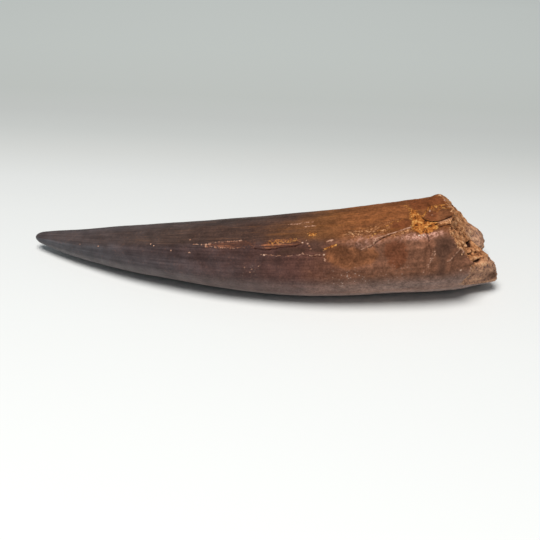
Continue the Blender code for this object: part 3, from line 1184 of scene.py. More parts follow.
@dataclass
class Tooth:
    """The whole tooth: one fine closed mesh, with maps for its finish.

    Attributes:
        form: the long cone.
        broken: the broken end.
        marks: where the marks of the side lie.
        weathering: its fine relief and soft zones.
        segments: faces around the section.
        tip_rows: rows of faces on the rounded tip.
        side_rows: rows of faces along the side.
        break_rows: rows of faces across the broken end.
        row_bias: how much closer the rows are towards the rim.
        crowd_angle: angle at which the meridians are closest.
        crowd: how much closer they are there.
        rim_steps: steps in which the rim is found.
        rim_step: share of the way that each of them goes, below 1 so as not to overshoot.
        edge_reach: distance over which the map of an edged zone rises.
        grain_radius: radius at which the grain of the finish is wound around the tooth.
        grain_stretch: how far that grain is drawn out along the tooth.
    """

    form: ToothForm = field(default_factory=ToothForm)
    broken: BrokenEnd = field(default_factory=BrokenEnd)
    marks: SurfaceMarks = field(default_factory=SurfaceMarks)
    weathering: Weathering = field(default_factory=Weathering)
    segments: int = 240
    tip_rows: int = 12
    side_rows: int = 322
    break_rows: int = 60
    row_bias: float = 0.4
    crowd_angle: float = 35.0
    crowd: float = 0.42
    rim_steps: int = 30
    rim_step: float = 0.5
    edge_reach: float = 0.0006
    grain_radius: float = 0.010
    grain_stretch: float = 0.07

    @property
    def rows(self) -> int:
        """Rows of faces from the tip to the middle of the broken end."""
        return self.tip_rows + self.side_rows + self.break_rows

    def meridians(self) -> np.ndarray:
        """Angles of the meridians, crowded together on the front and top.

        Returns:
            One angle in degrees for each segment.
        """
        even = np.arange(self.segments) * 360.0 / self.segments
        return even - math.degrees(self.crowd) * np.sin(np.radians(even - self.crowd_angle))

    def rims(self, angle: np.ndarray) -> np.ndarray:
        """Where the side meets the broken face.

        Args:
            angle: angles of the meridians.

        Returns:
            The distance from the tip for each of them.
        """
        station = np.full(angle.shape, self.broken.station)
        for _ in range(self.rim_steps):
            edge = self.form.side(self.form.surface(station, angle))
            y, z = edge[:, 1], edge[:, 2]
            face = self.broken.face(y, z, self.broken.crumbs(y, z))
            station = station + self.rim_step * (face - station)
        return station

    def edged(self, depth: np.ndarray) -> np.ndarray:
        """Turn a distance inside a border to a map that is 0.5 at the border."""
        return np.clip(0.5 + 0.5 * depth / self.edge_reach, 0.0, 1.0)

    def soft_zones(self, surface: Surface, wobble: Wobble) -> dict[Zone, np.ndarray]:
        """Map the soft zones of the side, and start the edged ones at zero.

        Args:
            surface: the places on the side.
            wobble: the noise there.

        Returns:
            One map for each zone.
        """
        look, station, angle = self.weathering, surface.station, surface.angle
        ridge_turn = self.form.from_ridge(surface)
        zones = {zone: np.zeros(station.shape) for zone in Zone}
        later = look.behind_top.at(turn_between(angle, look.top_angle)) * look.before_root.at(station)
        warmth = self.marks.warmth.at(station) + look.warm_mottle * wobble.broad - look.back_delay * later
        zones[Zone.WARMTH] = np.clip(warmth, 0.0, 1.0)

        mottle = look.upper_mottle * wobble.broad
        spread = look.upper_spread + look.tip_spread * look.near_tip.at(station)
        past_rear = (turn_between(angle, look.rear_angle) + mottle) / look.rear_spread
        zones[Zone.UPPER] = fade(0.5 + (ridge_turn - look.upper_start + mottle) / spread)
        zones[Zone.UPPER] *= fade(0.5 - past_rear)

        # painted light and reflection of the pale table on the lower flank
        below = -turn_between(angle, 0.0)
        grey = (look.flank_table_light + look.root_table_light * look.root.at(station)) * look.flank.at(below)
        grey += look.underside_table_light * look.underside.at(below)
        grey *= look.tip_table_light + (1.0 - look.tip_table_light) * look.past_tip.at(station)
        zones[Zone.PAINTED_TABLE_LIGHT] = grey * look.behind.at(below)

        # painted shade below the ridge of the crown
        crown = look.painted_shade_start.at(station) * look.painted_shade_end.at(station)
        zones[Zone.PAINTED_SHADE] = crown * np.exp(-(((ridge_turn + look.painted_shade_turn) / look.painted_shade_spread) ** 2))
        relief = 0.5 + look.relief_contrast * (wobble.broad + wobble.fine)
        zones[Zone.RELIEF] = np.clip(relief, 0.0, 1.0)
        zones[Zone.PITTED] = np.max([patch.on(surface) for patch in self.marks.pitted], axis=0)
        return zones

    def crinkles(self, surface: Surface, wobble: Wobble) -> tuple[np.ndarray, np.ndarray]:
        """Crinkles on the crest of the ridge.

        Args:
            surface: the places on the side.
            wobble: the noise there.

        Returns:
            How much of the crest each place has, and how high the crinkles are there.
        """
        look = self.weathering
        spread = look.crest_spread + look.wide_crest_spread * look.before_sediment.at(surface.station)
        crest = np.exp(-((self.form.from_ridge(surface) / spread) ** 2))
        strokes = look.stroke_level - look.stroke_contrast * np.abs(look.strokes.at(wobble.place))
        return crest * self.marks.ridge_shine.at(surface.station), np.clip(strokes, 0.0, 1.0)

    def skin(self, surface: Surface, wobble: Wobble, upper: np.ndarray) -> np.ndarray:
        """Flutes and roughness of the side, before any scar.

        Args:
            surface: the places on the side.
            wobble: the noise there.
            upper: how much of the upper side each place has.

        Returns:
            Heights in metres.
        """
        look, station, turn = self.weathering, surface.station, np.radians(surface.angle)
        wound = look.flute_radius * np.cos(turn), look.flute_radius * np.sin(turn)
        flutes = look.flutes.at(np.stack([look.flute_stretch * station, *wound], -1))
        flutes *= np.clip(station / look.flute_start, look.flute_least, 1.0)
        rough_end = look.rough_end.at(station)
        height = flutes * (look.flute_height + look.upper_flute_height * upper)
        height += wobble.broad * (look.broad_height + look.rough_broad_height * rough_end)
        return height + wobble.fine * (look.fine_height + look.rough_fine_height * rough_end)

    def lay_plates(self, surface: Surface, zones: dict[Zone, np.ndarray]) -> np.ndarray:
        """Lay the patches that have an outline.

        Args:
            surface: the places on the side, bent.
            zones: the maps, to which their finishes are added.

        Returns:
            Their heights in metres.
        """
        height = np.zeros(surface.station.shape)
        for plate in self.marks.plates():
            depth = plate.depth_inside(surface)
            height += plate.height * fade(0.5 + depth / plate.slope)
            if plate.zone:
                zones[plate.zone] = np.maximum(zones[plate.zone], plate.strength * self.edged(depth))
        return height

    def lay_lines(self, surface: Surface, zones: dict[Zone, np.ndarray]) -> np.ndarray:
        """Lay the cracks and the lips of scars.

        Args:
            surface: the places on the side, bent.
            zones: the maps, to which their finishes are added.

        Returns:
            Their heights in metres.
        """
        height = np.zeros(surface.station.shape)
        for trace in self.marks.cracks_and_shadow + self.marks.lips:
            height += trace.height * trace.on(surface)
            line = trace.on(surface, self.weathering.line_halo)
            shares = {Zone.CRACK_AND_SHADE: trace.dark, Zone.PALE: trace.pale, Zone.SEDIMENT: trace.ochre}
            for zone, share in shares.items():
                zones[zone] = np.maximum(zones[zone], share * line)
        return height

    def dress_side(self, surface: Surface, to_rim: np.ndarray) -> tuple[np.ndarray, dict[Zone, np.ndarray]]:
        """Fine relief of the side, and the map of each zone.

        Args:
            surface: the places on the side.
            to_rim: distances along the tooth to the rim.

        Returns:
            Heights in metres, and one map for each zone.
        """
        look = self.weathering
        wobble = look.wobble(surface)
        zones = self.soft_zones(surface, wobble)
        crest, strokes = self.crinkles(surface, wobble)
        # painted highlight on the crinkles of the crest
        zones[Zone.PAINTED_RIDGE_HIGHLIGHT] = crest * (look.stroke_least + (1.0 - look.stroke_least) * strokes)
        height = self.skin(surface, wobble, zones[Zone.UPPER]) + look.crinkle_height * crest * strokes
        height += self.lay_plates(look.plate_bend.of(surface, wobble), zones)
        lumps = look.sediment_height * look.sediment.at(wobble.place) + look.sediment_grit * wobble.fine
        height += look.packed.at(zones[Zone.SEDIMENT]) * lumps
        height += self.lay_lines(look.line_bend.of(surface, wobble), zones)

        # pale specks and painted glints
        specks_and_glints = np.max([speck.on(surface) for speck in self.marks.specks_and_glints], axis=0)
        zones[Zone.PALE] = np.maximum(zones[Zone.PALE], specks_and_glints)
        sunk = (-look.holes.at(wobble.place) - look.hole_level) / look.hole_range
        holes = zones[Zone.PITTED] * np.clip(sunk, 0.0, 1.0)
        height += look.speck_height * specks_and_glints - look.hole_depth * holes
        height -= look.rim_round * np.exp(-((to_rim / look.rim_reach) ** look.rim_edge))
        frayed = look.rim_fine * wobble.fine + look.rim_broad * wobble.broad - look.rim_inset
        zones[Zone.BROKEN] = np.maximum(zones[Zone.BROKEN], self.edged(frayed - to_rim))
        return height, zones

    def lay_out(self, ball: np.ndarray) -> tuple[np.ndarray, Surface, np.ndarray]:
        """Find where on the tooth each point of the ball goes.

        Args:
            ball: the points of the ball, one row each.

        Returns:
            The row of each point, its place on the side, and the distance along the
            tooth from there to the rim.
        """
        row = np.rint(self.rows * np.arccos(np.clip(ball[:, 2], -1.0, 1.0)) / math.pi)
        segment = np.rint(self.segments * np.arctan2(ball[:, 1], ball[:, 0]) / (2.0 * math.pi))
        segment = segment.astype(int) % self.segments
        meridians = self.meridians()
        angle, rim = meridians[segment], self.rims(meridians)[segment]
        round_tip = self.form.tip_round
        tip = round_tip * (1.0 - np.cos(0.5 * math.pi * row / self.tip_rows))
        share = np.clip((row - self.tip_rows) / self.side_rows, 0.0, 1.0)
        share = share + self.row_bias * share * (1.0 - share)
        station = np.where(row <= self.tip_rows, tip, round_tip + (rim - round_tip) * share)
        return row, self.form.surface(station, angle), rim - station

    def break_off(self, row: np.ndarray, places: np.ndarray, zones: dict[Zone, np.ndarray]) -> None:
        """Move the points past the rim to the broken face, and give them its finish.

        Args:
            row: the row of each point.
            places: the points, which are moved.
            zones: the maps, which are written there.
        """
        last_side_row = self.tip_rows + self.side_rows
        across = row > last_side_row
        inwards = 1.0 - (row[across] - last_side_row) / self.break_rows
        centre_y, centre_z = self.form.centre(np.array([self.broken.station]))
        y = centre_y + inwards * (places[across, 1] - centre_y)
        z = centre_z + inwards * (places[across, 2] - centre_z)
        crumbs = self.broken.crumbs(y, z)
        places[across] = np.stack([self.broken.face(y, z, crumbs), y, z], -1)
        for zone, mask in self.broken.dress(y, z, crumbs).items():
            zones[zone][across] = mask

    def build(self) -> bpy.types.Object:
        """Draw a ball out into the tooth, with its poles at the tip and in the break.

        Returns:
            The finished object, with its maps on its mesh.
        """
        shape = bmesh.new()
        bmesh.ops.create_uvsphere(shape, u_segments=self.segments, v_segments=self.rows, radius=1.0)
        row, surface, to_rim = self.lay_out(np.array([vertex.co for vertex in shape.verts]))
        detail, zones = self.dress_side(surface, to_rim)
        places = self.form.side(surface, detail)
        self.break_off(row, places, zones)

        # The plain form goes to where the solid lies, with its flat place on the ground.
        plain = self.form.side(surface)
        low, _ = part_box(NODE)
        places += (low.x + self.form.tip_reach, low.y - plain[:, 1].min(), -self.form.rest_depth)
        places[:, 2] = np.maximum(places[:, 2], 0.0)
        for vertex, place in zip(shape.verts, places.tolist()):
            vertex.co = place
        bmesh.ops.recalc_face_normals(shape, faces=shape.faces)
        mesh = bpy.data.meshes.new(NODE + "_surface")
        shape.to_mesh(mesh)
        shape.free()
        mesh.shade_smooth()
        self.write_maps(mesh, surface, zones)
        piece = bpy.data.objects.new(mesh.name, mesh)
        bpy.context.scene.collection.objects.link(piece)
        log.info("%s: %d faces", piece.name, len(mesh.polygons))
        return piece

    def write_maps(self, mesh: bpy.types.Mesh, surface: Surface, zones: dict[Zone, np.ndarray]) -> None:
        """Keep the maps on the mesh for the finish to read.

        Args:
            mesh: the tooth's mesh.
            surface: the places of its points on the side.
            zones: one map for each zone.
        """
        for zone, mask in zones.items():
            values = mesh.attributes.new(zone.value, "FLOAT", "POINT").data
            values.foreach_set("value", mask.astype(np.float32))
        turn = np.radians(surface.angle)
        wound = self.grain_radius * np.cos(turn), self.grain_radius * np.sin(turn)
        grain = np.stack([*wound, self.grain_stretch * surface.station], -1)
        values = mesh.attributes.new(GRAIN, "FLOAT_VECTOR", "POINT").data
        values.foreach_set("vector", grain.astype(np.float32).ravel())


def linear(colour: str) -> tuple[float, float, float, float]:
    """Turn an sRGB hex colour to linear light.

    Args:
        colour: the colour, such as #a07050.

    Returns:
        Red, green, blue and an alpha of 1.
    """
    parts = [int(colour[i : i + 2], 16) / 255.0 for i in (1, 3, 5)]
    r, g, b = (p / 12.92 if p <= 0.04045 else ((p + 0.055) / 1.055) ** 2.4 for p in parts)
    return r, g, b, 1.0


def add_node(
    tree: bpy.types.NodeTree,
    kind: str,
    output: str | None = None,
    inputs: dict[str, object] | None = None,
    stops: tuple[tuple[float, str], ...] = (),
    **settings: object,
) -> bpy.types.NodeSocket | None:
    """Add a node with its settings, values and links.

    Args:
        tree: the nodes that it joins.
        kind: type of the node.
        output: identifier of the output that is wanted.
        inputs: a value, a colour or a socket for each input, by identifier.
        stops: (place, colour) pairs, where the node is a ramp.
        settings: properties of the node.

    Returns:
        The output socket, or none where none is wanted.
    """
    node = tree.nodes.new(kind)
    for i, (place, colour) in enumerate(stops):
        elements = node.color_ramp.elements
        stop = elements[i] if i < len(elements) else elements.new(place)
        stop.position = place
        stop.color = linear(colour)
    for name, value in settings.items():
        setattr(node, name, value)
    sockets = {socket.identifier: socket for socket in node.inputs}
    for name, value in (inputs or {}).items():
        if isinstance(value, bpy.types.NodeSocket):
            tree.links.new(value, sockets[name])
        else:
            sockets[name].default_value = linear(value) if isinstance(value, str) else value
    return next((socket for socket in node.outputs if socket.identifier == output), None)


@dataclass(frozen=True)
class FossilFinish:
    """Fossil enamel over dentine, stained by minerals, with desert grit in its hollows.

    The enamel of the crown is near black and takes a soft polish. Towards the root it
    thins, and the eye sees warm brown dentine, ochre grit and a crumbly broken end.

    Attributes:
        name: name of the material.
        lower_side: enamel below the ridge, by warmth from crown to root; its grey cast is partly painted
            reflection of the pale table.
        upper_side: enamel above the ridge, by warmth from crown to root; the grey of its crown end is partly
            painted sheen.
        belly: painted light and reflection of the pale table, a light grey towards the ground.
        worn: enamel rubbed dull.
        threads: threads of dentine in it.
        window: dentine that shows through thin enamel, from dark to light.
        red: red-brown dentine.
        stain: grey-brown stain.
        ochre: rusty streaks on the upper side.
        ridge: painted highlight on the crinkles of the ridge.
        sediment: desert grit, from dark to light.
        broken: freshly broken dentine, from its low places to its high ones; the dark low end is partly
            painted shade.
        lip: lips of scars, from dark to light.
        speck: pale specks and grit, and painted glints.
        dark: cracks, pits and shade.
        shine: specular level of the polish.
        polish: roughness of the enamel.
        polish_streak: how much that roughness differs between streaks.
        dull: roughness of grit and of broken dentine.
        noise_gain: strength of each finer layer of a pattern.
        noise_low: noise value that a pattern turns to 0.
        noise_high: noise value that a pattern turns to 1.
        mottle_size: size of the largest mottling, in metres.
        blotch_size: size of the blotches in it, in metres.
        grit_size: size of grit, in metres.
        fibre_size: width of the fine streaks along the tooth, in metres.
        band_size: width of the broad streaks along the tooth, in metres.
        speck_spacing: distance from one pale grain to the next, in metres.
    """

    name: str = "fossil_enamel_and_dentine"
    lower_side: tuple[tuple[float, str], ...] = (
        (0.0, "#575659"),
        (0.3, "#52494a"),
        (0.5, "#543e3a"),
        (0.68, "#5e4039"),
        (0.8, "#6a4638"),
        (1.0, "#7b533f"),
    )
    upper_side: tuple[tuple[float, str], ...] = (
        (0.0, "#4e4646"),
        (0.3, "#473a35"),
        (0.5, "#4b372f"),
        (0.75, "#6c462a"),
        (1.0, "#7b4a2a"),
    )
    belly: str = "#b5a9a4"
    worn: str = "#5d3b2d"
    threads: str = "#a66a4b"
    window: tuple[tuple[float, str], ...] = ((0.1, "#6a4129"), (0.9, "#8c5939"))
    red: str = "#69371f"
    stain: str = "#4e372d"
    ochre: str = "#885526"
    ridge: str = "#d09c88"
    sediment: tuple[tuple[float, str], ...] = (
        (0.0, "#5c3418"),
        (0.25, "#9a5828"),
        (0.6, "#b87235"),
        (1.0, "#d69c58"),
    )
    broken: tuple[tuple[float, str], ...] = (
        (0.1, "#54301f"),
        (0.3, "#a26b45"),
        (0.6, "#c68e63"),
        (0.95, "#e6b98e"),
    )
    lip: tuple[tuple[float, str], ...] = ((0.2, "#8f6048"), (0.8, "#c49a82"))
    speck: str = "#e0cbb8"
    dark: str = "#321a12"
    shine: float = 0.05
    polish: float = 0.42
    polish_streak: float = 0.16
    dull: float = 0.8
    noise_gain: float = 0.6
    noise_low: float = 0.3
    noise_high: float = 0.7
    mottle_size: float = 0.0030
    blotch_size: float = 0.0011
    grit_size: float = 0.00042
    fibre_size: float = 0.0006
    band_size: float = 0.0022
    speck_spacing: float = 0.00065

    def build(self) -> bpy.types.Material:
        """Make the material.

        Returns:
            The material, ready to put on the tooth.
        """
        material = bpy.data.materials.new(self.name)
        material.use_nodes = True
        tree = material.node_tree
        tree.nodes.clear()
        maps = {
            zone: add_node(tree, "ShaderNodeAttribute", "Fac", attribute_name=zone.value) for zone in Zone
        }
        patterns = self.patterns(tree)
        cuts = self.cuts(tree, maps, patterns)
        inputs = {
            "Base Color": self.colour(tree, maps, cuts, patterns),
            "Roughness": self.roughness(tree, maps, cuts, patterns),
            "Normal": self.normal(tree, maps, cuts, patterns),
            "Specular IOR Level": self.shine,
        }
        shader = add_node(tree, "ShaderNodeBsdfPrincipled", "BSDF", inputs)
        add_node(tree, "ShaderNodeOutputMaterial", inputs={"Surface": shader})
        return material

    def patterns(self, tree: bpy.types.NodeTree) -> dict[str, bpy.types.NodeSocket]:
        """Noise that the layers share.

        Args:
            tree: the material's nodes.

        Returns:
            One value from 0 to 1 for each pattern, by name.
        """
        place = add_node(tree, "ShaderNodeTexCoord", "Object")
        grain = add_node(tree, "ShaderNodeAttribute", "Vector", attribute_name=GRAIN)
        made = {}
        for name, vector, size, detail in (
            ("mottle", place, self.mottle_size, 4.0),
            ("blotch", place, self.blotch_size, 3.0),
            ("grit", place, self.grit_size, 2.0),
            ("fibre", grain, self.fibre_size, 4.0),
            ("band", grain, self.band_size, 3.0),
        ):
            inputs = {"Vector": vector, "Scale": 1.0 / size, "Detail": detail, "Roughness": self.noise_gain}
            noise_value = add_node(tree, "ShaderNodeTexNoise", "Fac", inputs)
            made[name] = self.threshold(tree, noise_value, self.noise_low, self.noise_high, 1.0)
        inputs = {"Vector": place, "Scale": 1.0 / self.speck_spacing}
        made["speck"] = add_node(tree, "ShaderNodeTexVoronoi", "Distance", inputs)
        return made

    def cuts(
        self,
        tree: bpy.types.NodeTree,
        maps: dict[Zone, bpy.types.NodeSocket],
        patterns: dict[str, bpy.types.NodeSocket],
    ) -> dict[Zone, bpy.types.NodeSocket]:
        """Cut the edged zones at a ragged border.

        Args:
            tree: the material's nodes.
            maps: the map of each zone.
            patterns: the shared noise.

        Returns:
            How much each zone covers, from 0 to 1.
        """
        made = {}
        # The less soft a border is, the sharper it is cut.
        for zone, raggedness, softness in (
            (Zone.WEAR, 0.5, 0.35),
            (Zone.WINDOW, 0.4, 0.5),
            (Zone.RED, 0.4, 0.40),
            (Zone.SEDIMENT, 0.6, 0.24),
            (Zone.STAIN, 0.5, 0.45),
            (Zone.BROKEN, 0.5, 0.25),
            (Zone.CRACK_AND_SHADE, 0.35, 0.20),
            (Zone.PALE, 0.45, 0.16),
        ):
            inputs = {"Value": patterns["grit"], "Value_001": raggedness, "Value_002": maps[zone]}
            ragged = add_node(tree, "ShaderNodeMath", "Value", inputs, operation="MULTIPLY_ADD")
            middle = 0.5 + 0.5 * raggedness
            inputs = {"Value": ragged, "From Min": middle - softness, "From Max": middle + softness}
            made[zone] = add_node(
                tree, "ShaderNodeMapRange", "Result", inputs, interpolation_type="SMOOTHSTEP"
            )
        return made

    def threshold(
        self,
        tree: bpy.types.NodeTree,
        value: bpy.types.NodeSocket,
        start: float,
        end: float,
        strength: float | bpy.types.NodeSocket,
    ) -> bpy.types.NodeSocket:
        """Keep the part of a pattern between two values.

        Args:
            tree: the material's nodes.
            value: the pattern.
            start: value at which it starts to show.
            end: value at which it shows in full.
            strength: how strong it is there, as a number or a map.

        Returns:
            How much of it shows, from 0 to its strength.
        """
        inputs = {"Value": value, "From Min": start, "From Max": end, "To Max": strength}
        return add_node(tree, "ShaderNodeMapRange", "Result", inputs, interpolation_type="LINEAR")

    def colour(
        self,
        tree: bpy.types.NodeTree,
        maps: dict[Zone, bpy.types.NodeSocket],
        cuts: dict[Zone, bpy.types.NodeSocket],
        patterns: dict[str, bpy.types.NodeSocket],
    ) -> bpy.types.NodeSocket:
        """Lay the colours over one another, from the enamel up.

        Args:
            tree: the material's nodes.
            maps: the map of each zone.
            cuts: how much each edged zone covers.
            patterns: the shared noise.

        Returns:
            The colour of the surface.
        """
        # A share of the fine pattern goes over the coarse one, and start to end is spread over the ramp.
        mixed = {}
        for name, fine, share, coarse, start, end in (
            ("sediment", "grit", 0.8, patterns["blotch"], 0.45, 1.35),
            ("broken", "grit", 0.3, maps[Zone.RELIEF], 0.15, 1.15),
        ):
            inputs = {"Value": patterns[fine], "Value_001": share, "Value_002": coarse}
            value = add_node(tree, "ShaderNodeMath", "Value", inputs, operation="MULTIPLY_ADD")
            mixed[name] = self.threshold(tree, value, start, end, 1.0)
        ramps = {}
        for name, value, stops in (
            ("lower", maps[Zone.WARMTH], self.lower_side),
            ("upper", maps[Zone.WARMTH], self.upper_side),
            ("window", patterns["mottle"], self.window),
            ("sediment", mixed["sediment"], self.sediment),
            ("broken", mixed["broken"], self.broken),
            ("lip", patterns["blotch"], self.lip),
        ):
            ramps[name] = add_node(tree, "ShaderNodeValToRGB", "Color", {"Fac": value}, stops)
        pitted = self.threshold(tree, patterns["blotch"], 0.3, 0.8, maps[Zone.PITTED])
        inputs = {"Value": maps[Zone.WARMTH], "Value_001": maps[Zone.UPPER]}
        warm_upper = add_node(tree, "ShaderNodeMath", "Value", inputs, operation="MULTIPLY")
        # Each layer is how much of it shows, its tint, and how it blends.
        layers = (
            (maps[Zone.UPPER], ramps["upper"], "MIX"),
            # painted shade below the ridge of the crown
            (self.threshold(tree, maps[Zone.PAINTED_SHADE], 0.0, 1.0, 0.4), self.dark, "MIX"),
            # streaks along the tooth
            (0.22, patterns["fibre"], "OVERLAY"),
            (0.22, patterns["band"], "OVERLAY"),
            (self.threshold(tree, patterns["fibre"], 0.66, 1.3, warm_upper), self.ochre, "MIX"),
            # rubbed, thinned and broken places
            (self.threshold(tree, cuts[Zone.WEAR], 0.0, 1.0, 0.6), self.worn, "MIX"),
            (self.threshold(tree, patterns["fibre"], 0.45, 0.8, cuts[Zone.WEAR]), self.threads, "MIX"),
            (self.threshold(tree, cuts[Zone.WINDOW], 0.0, 1.0, 0.85), ramps["window"], "MIX"),
            (self.threshold(tree, cuts[Zone.RED], 0.0, 1.0, 0.6), self.red, "MIX"),
            (cuts[Zone.BROKEN], ramps["broken"], "MIX"),
            # painted light and reflection of the pale table on the lower flank
            (self.threshold(tree, maps[Zone.PAINTED_TABLE_LIGHT], 0.0, 1.0, 0.8), self.belly, "MIX"),
            (self.threshold(tree, cuts[Zone.STAIN], 0.0, 1.0, 0.7), self.stain, "MIX"),
            # mottling, which gets finer and stronger towards the root
            (0.25, patterns["mottle"], "OVERLAY"),
            (self.threshold(tree, maps[Zone.WARMTH], 0.45, 0.9, 0.25), patterns["blotch"], "OVERLAY"),
            (self.threshold(tree, maps[Zone.WARMTH], -0.2, 0.9, 0.28), patterns["grit"], "OVERLAY"),
            # painted highlight on the crinkles, then grit, cracks, specks and painted glints on top
            (self.threshold(tree, patterns["grit"], 0.05, 0.6, maps[Zone.PAINTED_RIDGE_HIGHLIGHT]), self.ridge, "MIX"),
            (cuts[Zone.SEDIMENT], ramps["sediment"], "MIX"),
            (self.threshold(tree, patterns["speck"], 0.30, 0.12, pitted), self.speck, "MIX"),
            (cuts[Zone.CRACK_AND_SHADE], self.dark, "MIX"),
            (cuts[Zone.PALE], ramps["lip"], "MIX"),
            (self.threshold(tree, maps[Zone.PALE], 0.76, 0.86, 0.8), self.speck, "MIX"),
        )
        surface = ramps["lower"]
        for share, tint, blend in layers:
            inputs = {"Factor_Float": share, "A_Color": surface, "B_Color": tint}
            surface = add_node(
                tree, "ShaderNodeMix", "Result_Color", inputs, data_type="RGBA", blend_type=blend
            )
        return surface

    def roughness(
        self,
        tree: bpy.types.NodeTree,
        maps: dict[Zone, bpy.types.NodeSocket],
        cuts: dict[Zone, bpy.types.NodeSocket],
        patterns: dict[str, bpy.types.NodeSocket],
    ) -> bpy.types.NodeSocket:
        """Soft polish on the enamel, dull grit and broken dentine.

        Args:
            tree: the material's nodes.
            maps: the map of each zone.
            cuts: how much each edged zone covers.
            patterns: the shared noise.

        Returns:
            The roughness of the surface.
        """
        inputs = {"Value": patterns["fibre"], "Value_001": self.polish_streak}
        inputs["Value_002"] = self.polish - 0.5 * self.polish_streak
        rough = add_node(tree, "ShaderNodeMath", "Value", inputs, operation="MULTIPLY_ADD")
        for share in (
            self.threshold(tree, maps[Zone.WARMTH], 0.4, 0.9, 0.5),
            self.threshold(tree, cuts[Zone.WEAR], 0.0, 1.0, 0.9),
            self.threshold(tree, cuts[Zone.STAIN], 0.0, 1.0, 0.3),
            cuts[Zone.SEDIMENT],
            cuts[Zone.BROKEN],
            cuts[Zone.CRACK_AND_SHADE],
        ):
            inputs = {"Factor_Float": share, "A_Float": rough, "B_Float": self.dull}
            rough = add_node(tree, "ShaderNodeMix", "Result_Float", inputs)
        return rough

    def normal(
        self,
        tree: bpy.types.NodeTree,
        maps: dict[Zone, bpy.types.NodeSocket],
        cuts: dict[Zone, bpy.types.NodeSocket],
        patterns: dict[str, bpy.types.NodeSocket],
    ) -> bpy.types.NodeSocket:
        """Relief that is finer than the mesh.

        Args:
            tree: the material's nodes.
            maps: the map of each zone.
            cuts: how much each edged zone covers.
            patterns: the shared noise.

        Returns:
            The bent normal.
        """
        # Each strength is the height of its pattern in millimetres.
        height = self.threshold(tree, patterns["fibre"], 0.0, 1.0, 0.012)
        for pattern, strength in (
            (patterns["grit"], 0.008),
            (patterns["grit"], self.threshold(tree, maps[Zone.WARMTH], 0.5, 0.95, 0.018)),
            (patterns["blotch"], self.threshold(tree, maps[Zone.WARMTH], 0.5, 0.95, 0.06)),
            (patterns["grit"], self.threshold(tree, cuts[Zone.SEDIMENT], 0.0, 1.0, 0.05)),
            (patterns["blotch"], self.threshold(tree, cuts[Zone.SEDIMENT], 0.0, 1.0, 0.16)),
            (patterns["grit"], self.threshold(tree, cuts[Zone.BROKEN], 0.0, 1.0, 0.04)),
            (patterns["blotch"], self.threshold(tree, cuts[Zone.BROKEN], 0.0, 1.0, 0.10)),
        ):
            inputs = {"Value": pattern, "Value_001": strength, "Value_002": height}
            height = add_node(tree, "ShaderNodeMath", "Value", inputs, operation="MULTIPLY_ADD")
        return add_node(tree, "ShaderNodeBump", "Normal", {"Distance": MM, "Height": height})


@dataclass(frozen=True)
class TableFinish:
    """Matt white card, with painted falloff of the light to a pale grey where it runs away from the eye.

    Attributes:
        name: name of the material.
        near: place along Y where its first tone lies, in metres.
        far: place along Y where its last tone lies, in metres.
        tones: shares of the way from near to far, and the tone there.
        roughness: roughness of the card.
    """

    name: str = "matt_white_card"
    near: float = -0.10
    far: float = 0.26
    tones: tuple[tuple[float, str], ...] = (
        (0.0, "#eef0ee"),
        (0.21, "#e8eae8"),
        (0.34, "#e1e3e1"),
        (0.40, "#dbdddb"),
        (0.46, "#ced0cd"),
        (0.505, "#c4c7c4"),
        (0.55, "#bfc2bf"),
        (0.61, "#bec2be"),
        (0.76, "#c6cbc7"),
        (1.0, "#d0d5d1"),
    )
    roughness: float = 0.7

    def build(self) -> bpy.types.Material:
        """Make the material.

        Returns:
            The material, ready to put on the floor.
        """
        material = bpy.data.materials.new(self.name)
        material.use_nodes = True
        tree = material.node_tree
        tree.nodes.clear()
        place = add_node(tree, "ShaderNodeTexCoord", "Object")
        depth = add_node(tree, "ShaderNodeSeparateXYZ", "Y", {"Vector": place})
        inputs = {"Value": depth, "From Min": self.near, "From Max": self.far}
        share = add_node(tree, "ShaderNodeMapRange", "Result", inputs)
        tone = add_node(tree, "ShaderNodeValToRGB", "Color", {"Fac": share}, self.tones)
        inputs = {"Base Color": tone, "Roughness": self.roughness}
        shader = add_node(tree, "ShaderNodeBsdfPrincipled", "BSDF", inputs)
        add_node(tree, "ShaderNodeOutputMaterial", inputs={"Surface": shader})
        return material


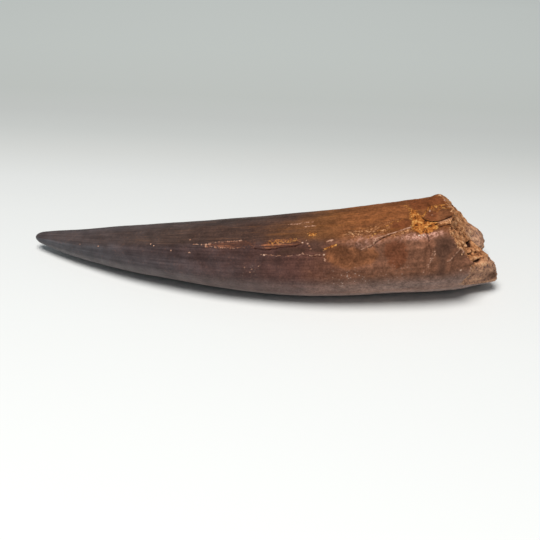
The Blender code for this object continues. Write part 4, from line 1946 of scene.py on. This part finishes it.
@dataclass
class Studio:
    """The pale table, the soft light and the camera at the photograph's angle.

    Attributes:
        focal: focal length, in millimetres.
        film: width of the film, in millimetres.
        near_clip: distance from which the camera sees, in metres.
        azimuth: turn of the camera around the tooth from the front, in degrees.
        elevation: how far above the table it looks from, in degrees.
        distance: its distance from what it aims at, in metres.
        aim: what it aims at.
        table_half: half the width of the table, in metres.
        sky: colour of the room.
        sky_strength: brightness of the room.
        lamp_colour: colour of the lamp.
        lamp_power: power of the lamp, in watts.
        lamp_size: width of the lamp, in metres.
        lamp_place: where the lamp hangs.
    """

    focal: float = 60.0
    film: float = 36.0
    near_clip: float = 0.01
    azimuth: float = 8.0
    elevation: float = 30.0
    distance: float = 0.211
    aim: tuple[float, float, float] = (0.00314, 0.00104, -0.00025)
    table_half: float = 4.0
    sky: str = "#d8e6f0"
    sky_strength: float = 0.21
    lamp_colour: str = "#fffcfa"
    lamp_power: float = 6.85
    lamp_size: float = 0.5
    lamp_place: tuple[float, float, float] = (-0.05, -0.20, 0.75)

    def table(self) -> bpy.types.Object:
        """Make the table top.

        Returns:
            The table, which isn't part of the object.
        """
        shape = bmesh.new()
        bmesh.ops.create_grid(shape, x_segments=1, y_segments=1, size=self.table_half)
        mesh = bpy.data.meshes.new("table")
        shape.to_mesh(mesh)
        shape.free()
        mesh.materials.append(TableFinish().build())
        table = bpy.data.objects.new(mesh.name, mesh)
        bpy.context.scene.collection.objects.link(table)
        return table

    def light(self) -> None:
        """Light the scene with a pale sky and one broad lamp overhead."""
        scene = bpy.context.scene
        scene.view_settings.view_transform = "Standard"
        world = bpy.data.worlds.new("pale_room")
        world.use_nodes = True
        tree = world.node_tree
        tree.nodes.clear()
        inputs = {"Color": linear(self.sky), "Strength": self.sky_strength}
        sky = add_node(tree, "ShaderNodeBackground", "Background", inputs)
        add_node(tree, "ShaderNodeOutputWorld", inputs={"Surface": sky})
        scene.world = world
        lamp = bpy.data.lights.new("overhead_lamp", "AREA")
        lamp.shape = "DISK"
        lamp.size = self.lamp_size
        lamp.color = linear(self.lamp_colour)[:3]
        lamp.energy = self.lamp_power
        holder = bpy.data.objects.new(lamp.name, lamp)
        holder.location = self.lamp_place
        holder.rotation_euler = (-Vector(self.lamp_place)).to_track_quat("-Z", "Y").to_euler()
        scene.collection.objects.link(holder)

    def camera(self) -> None:
        """Set the camera at the photograph's viewing angle."""
        lens = bpy.data.cameras.new("camera")
        lens.lens = self.focal
        lens.sensor_width = self.film
        lens.clip_start = self.near_clip
        camera = bpy.data.objects.new(lens.name, lens)
        turn, tilt = math.radians(self.azimuth), math.radians(self.elevation)
        back = Vector((math.sin(turn) * math.cos(tilt), -math.cos(turn) * math.cos(tilt), math.sin(tilt)))
        camera.location = Vector(self.aim) + self.distance * back
        camera.rotation_euler = (-back).to_track_quat("-Z", "Y").to_euler()
        bpy.context.scene.collection.objects.link(camera)
        bpy.context.scene.camera = camera


def main() -> None:
    """Build the tooth around its solid, dress it and light it."""
    logging.basicConfig(level=logging.INFO)
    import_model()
    tooth = Tooth().build()
    tooth.data.materials.append(FossilFinish().build())
    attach(tooth, "root")
    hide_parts(NODE)
    studio = Studio()
    studio.table()
    studio.light()
    studio.camera()


if __name__ == "__main__":
    main()
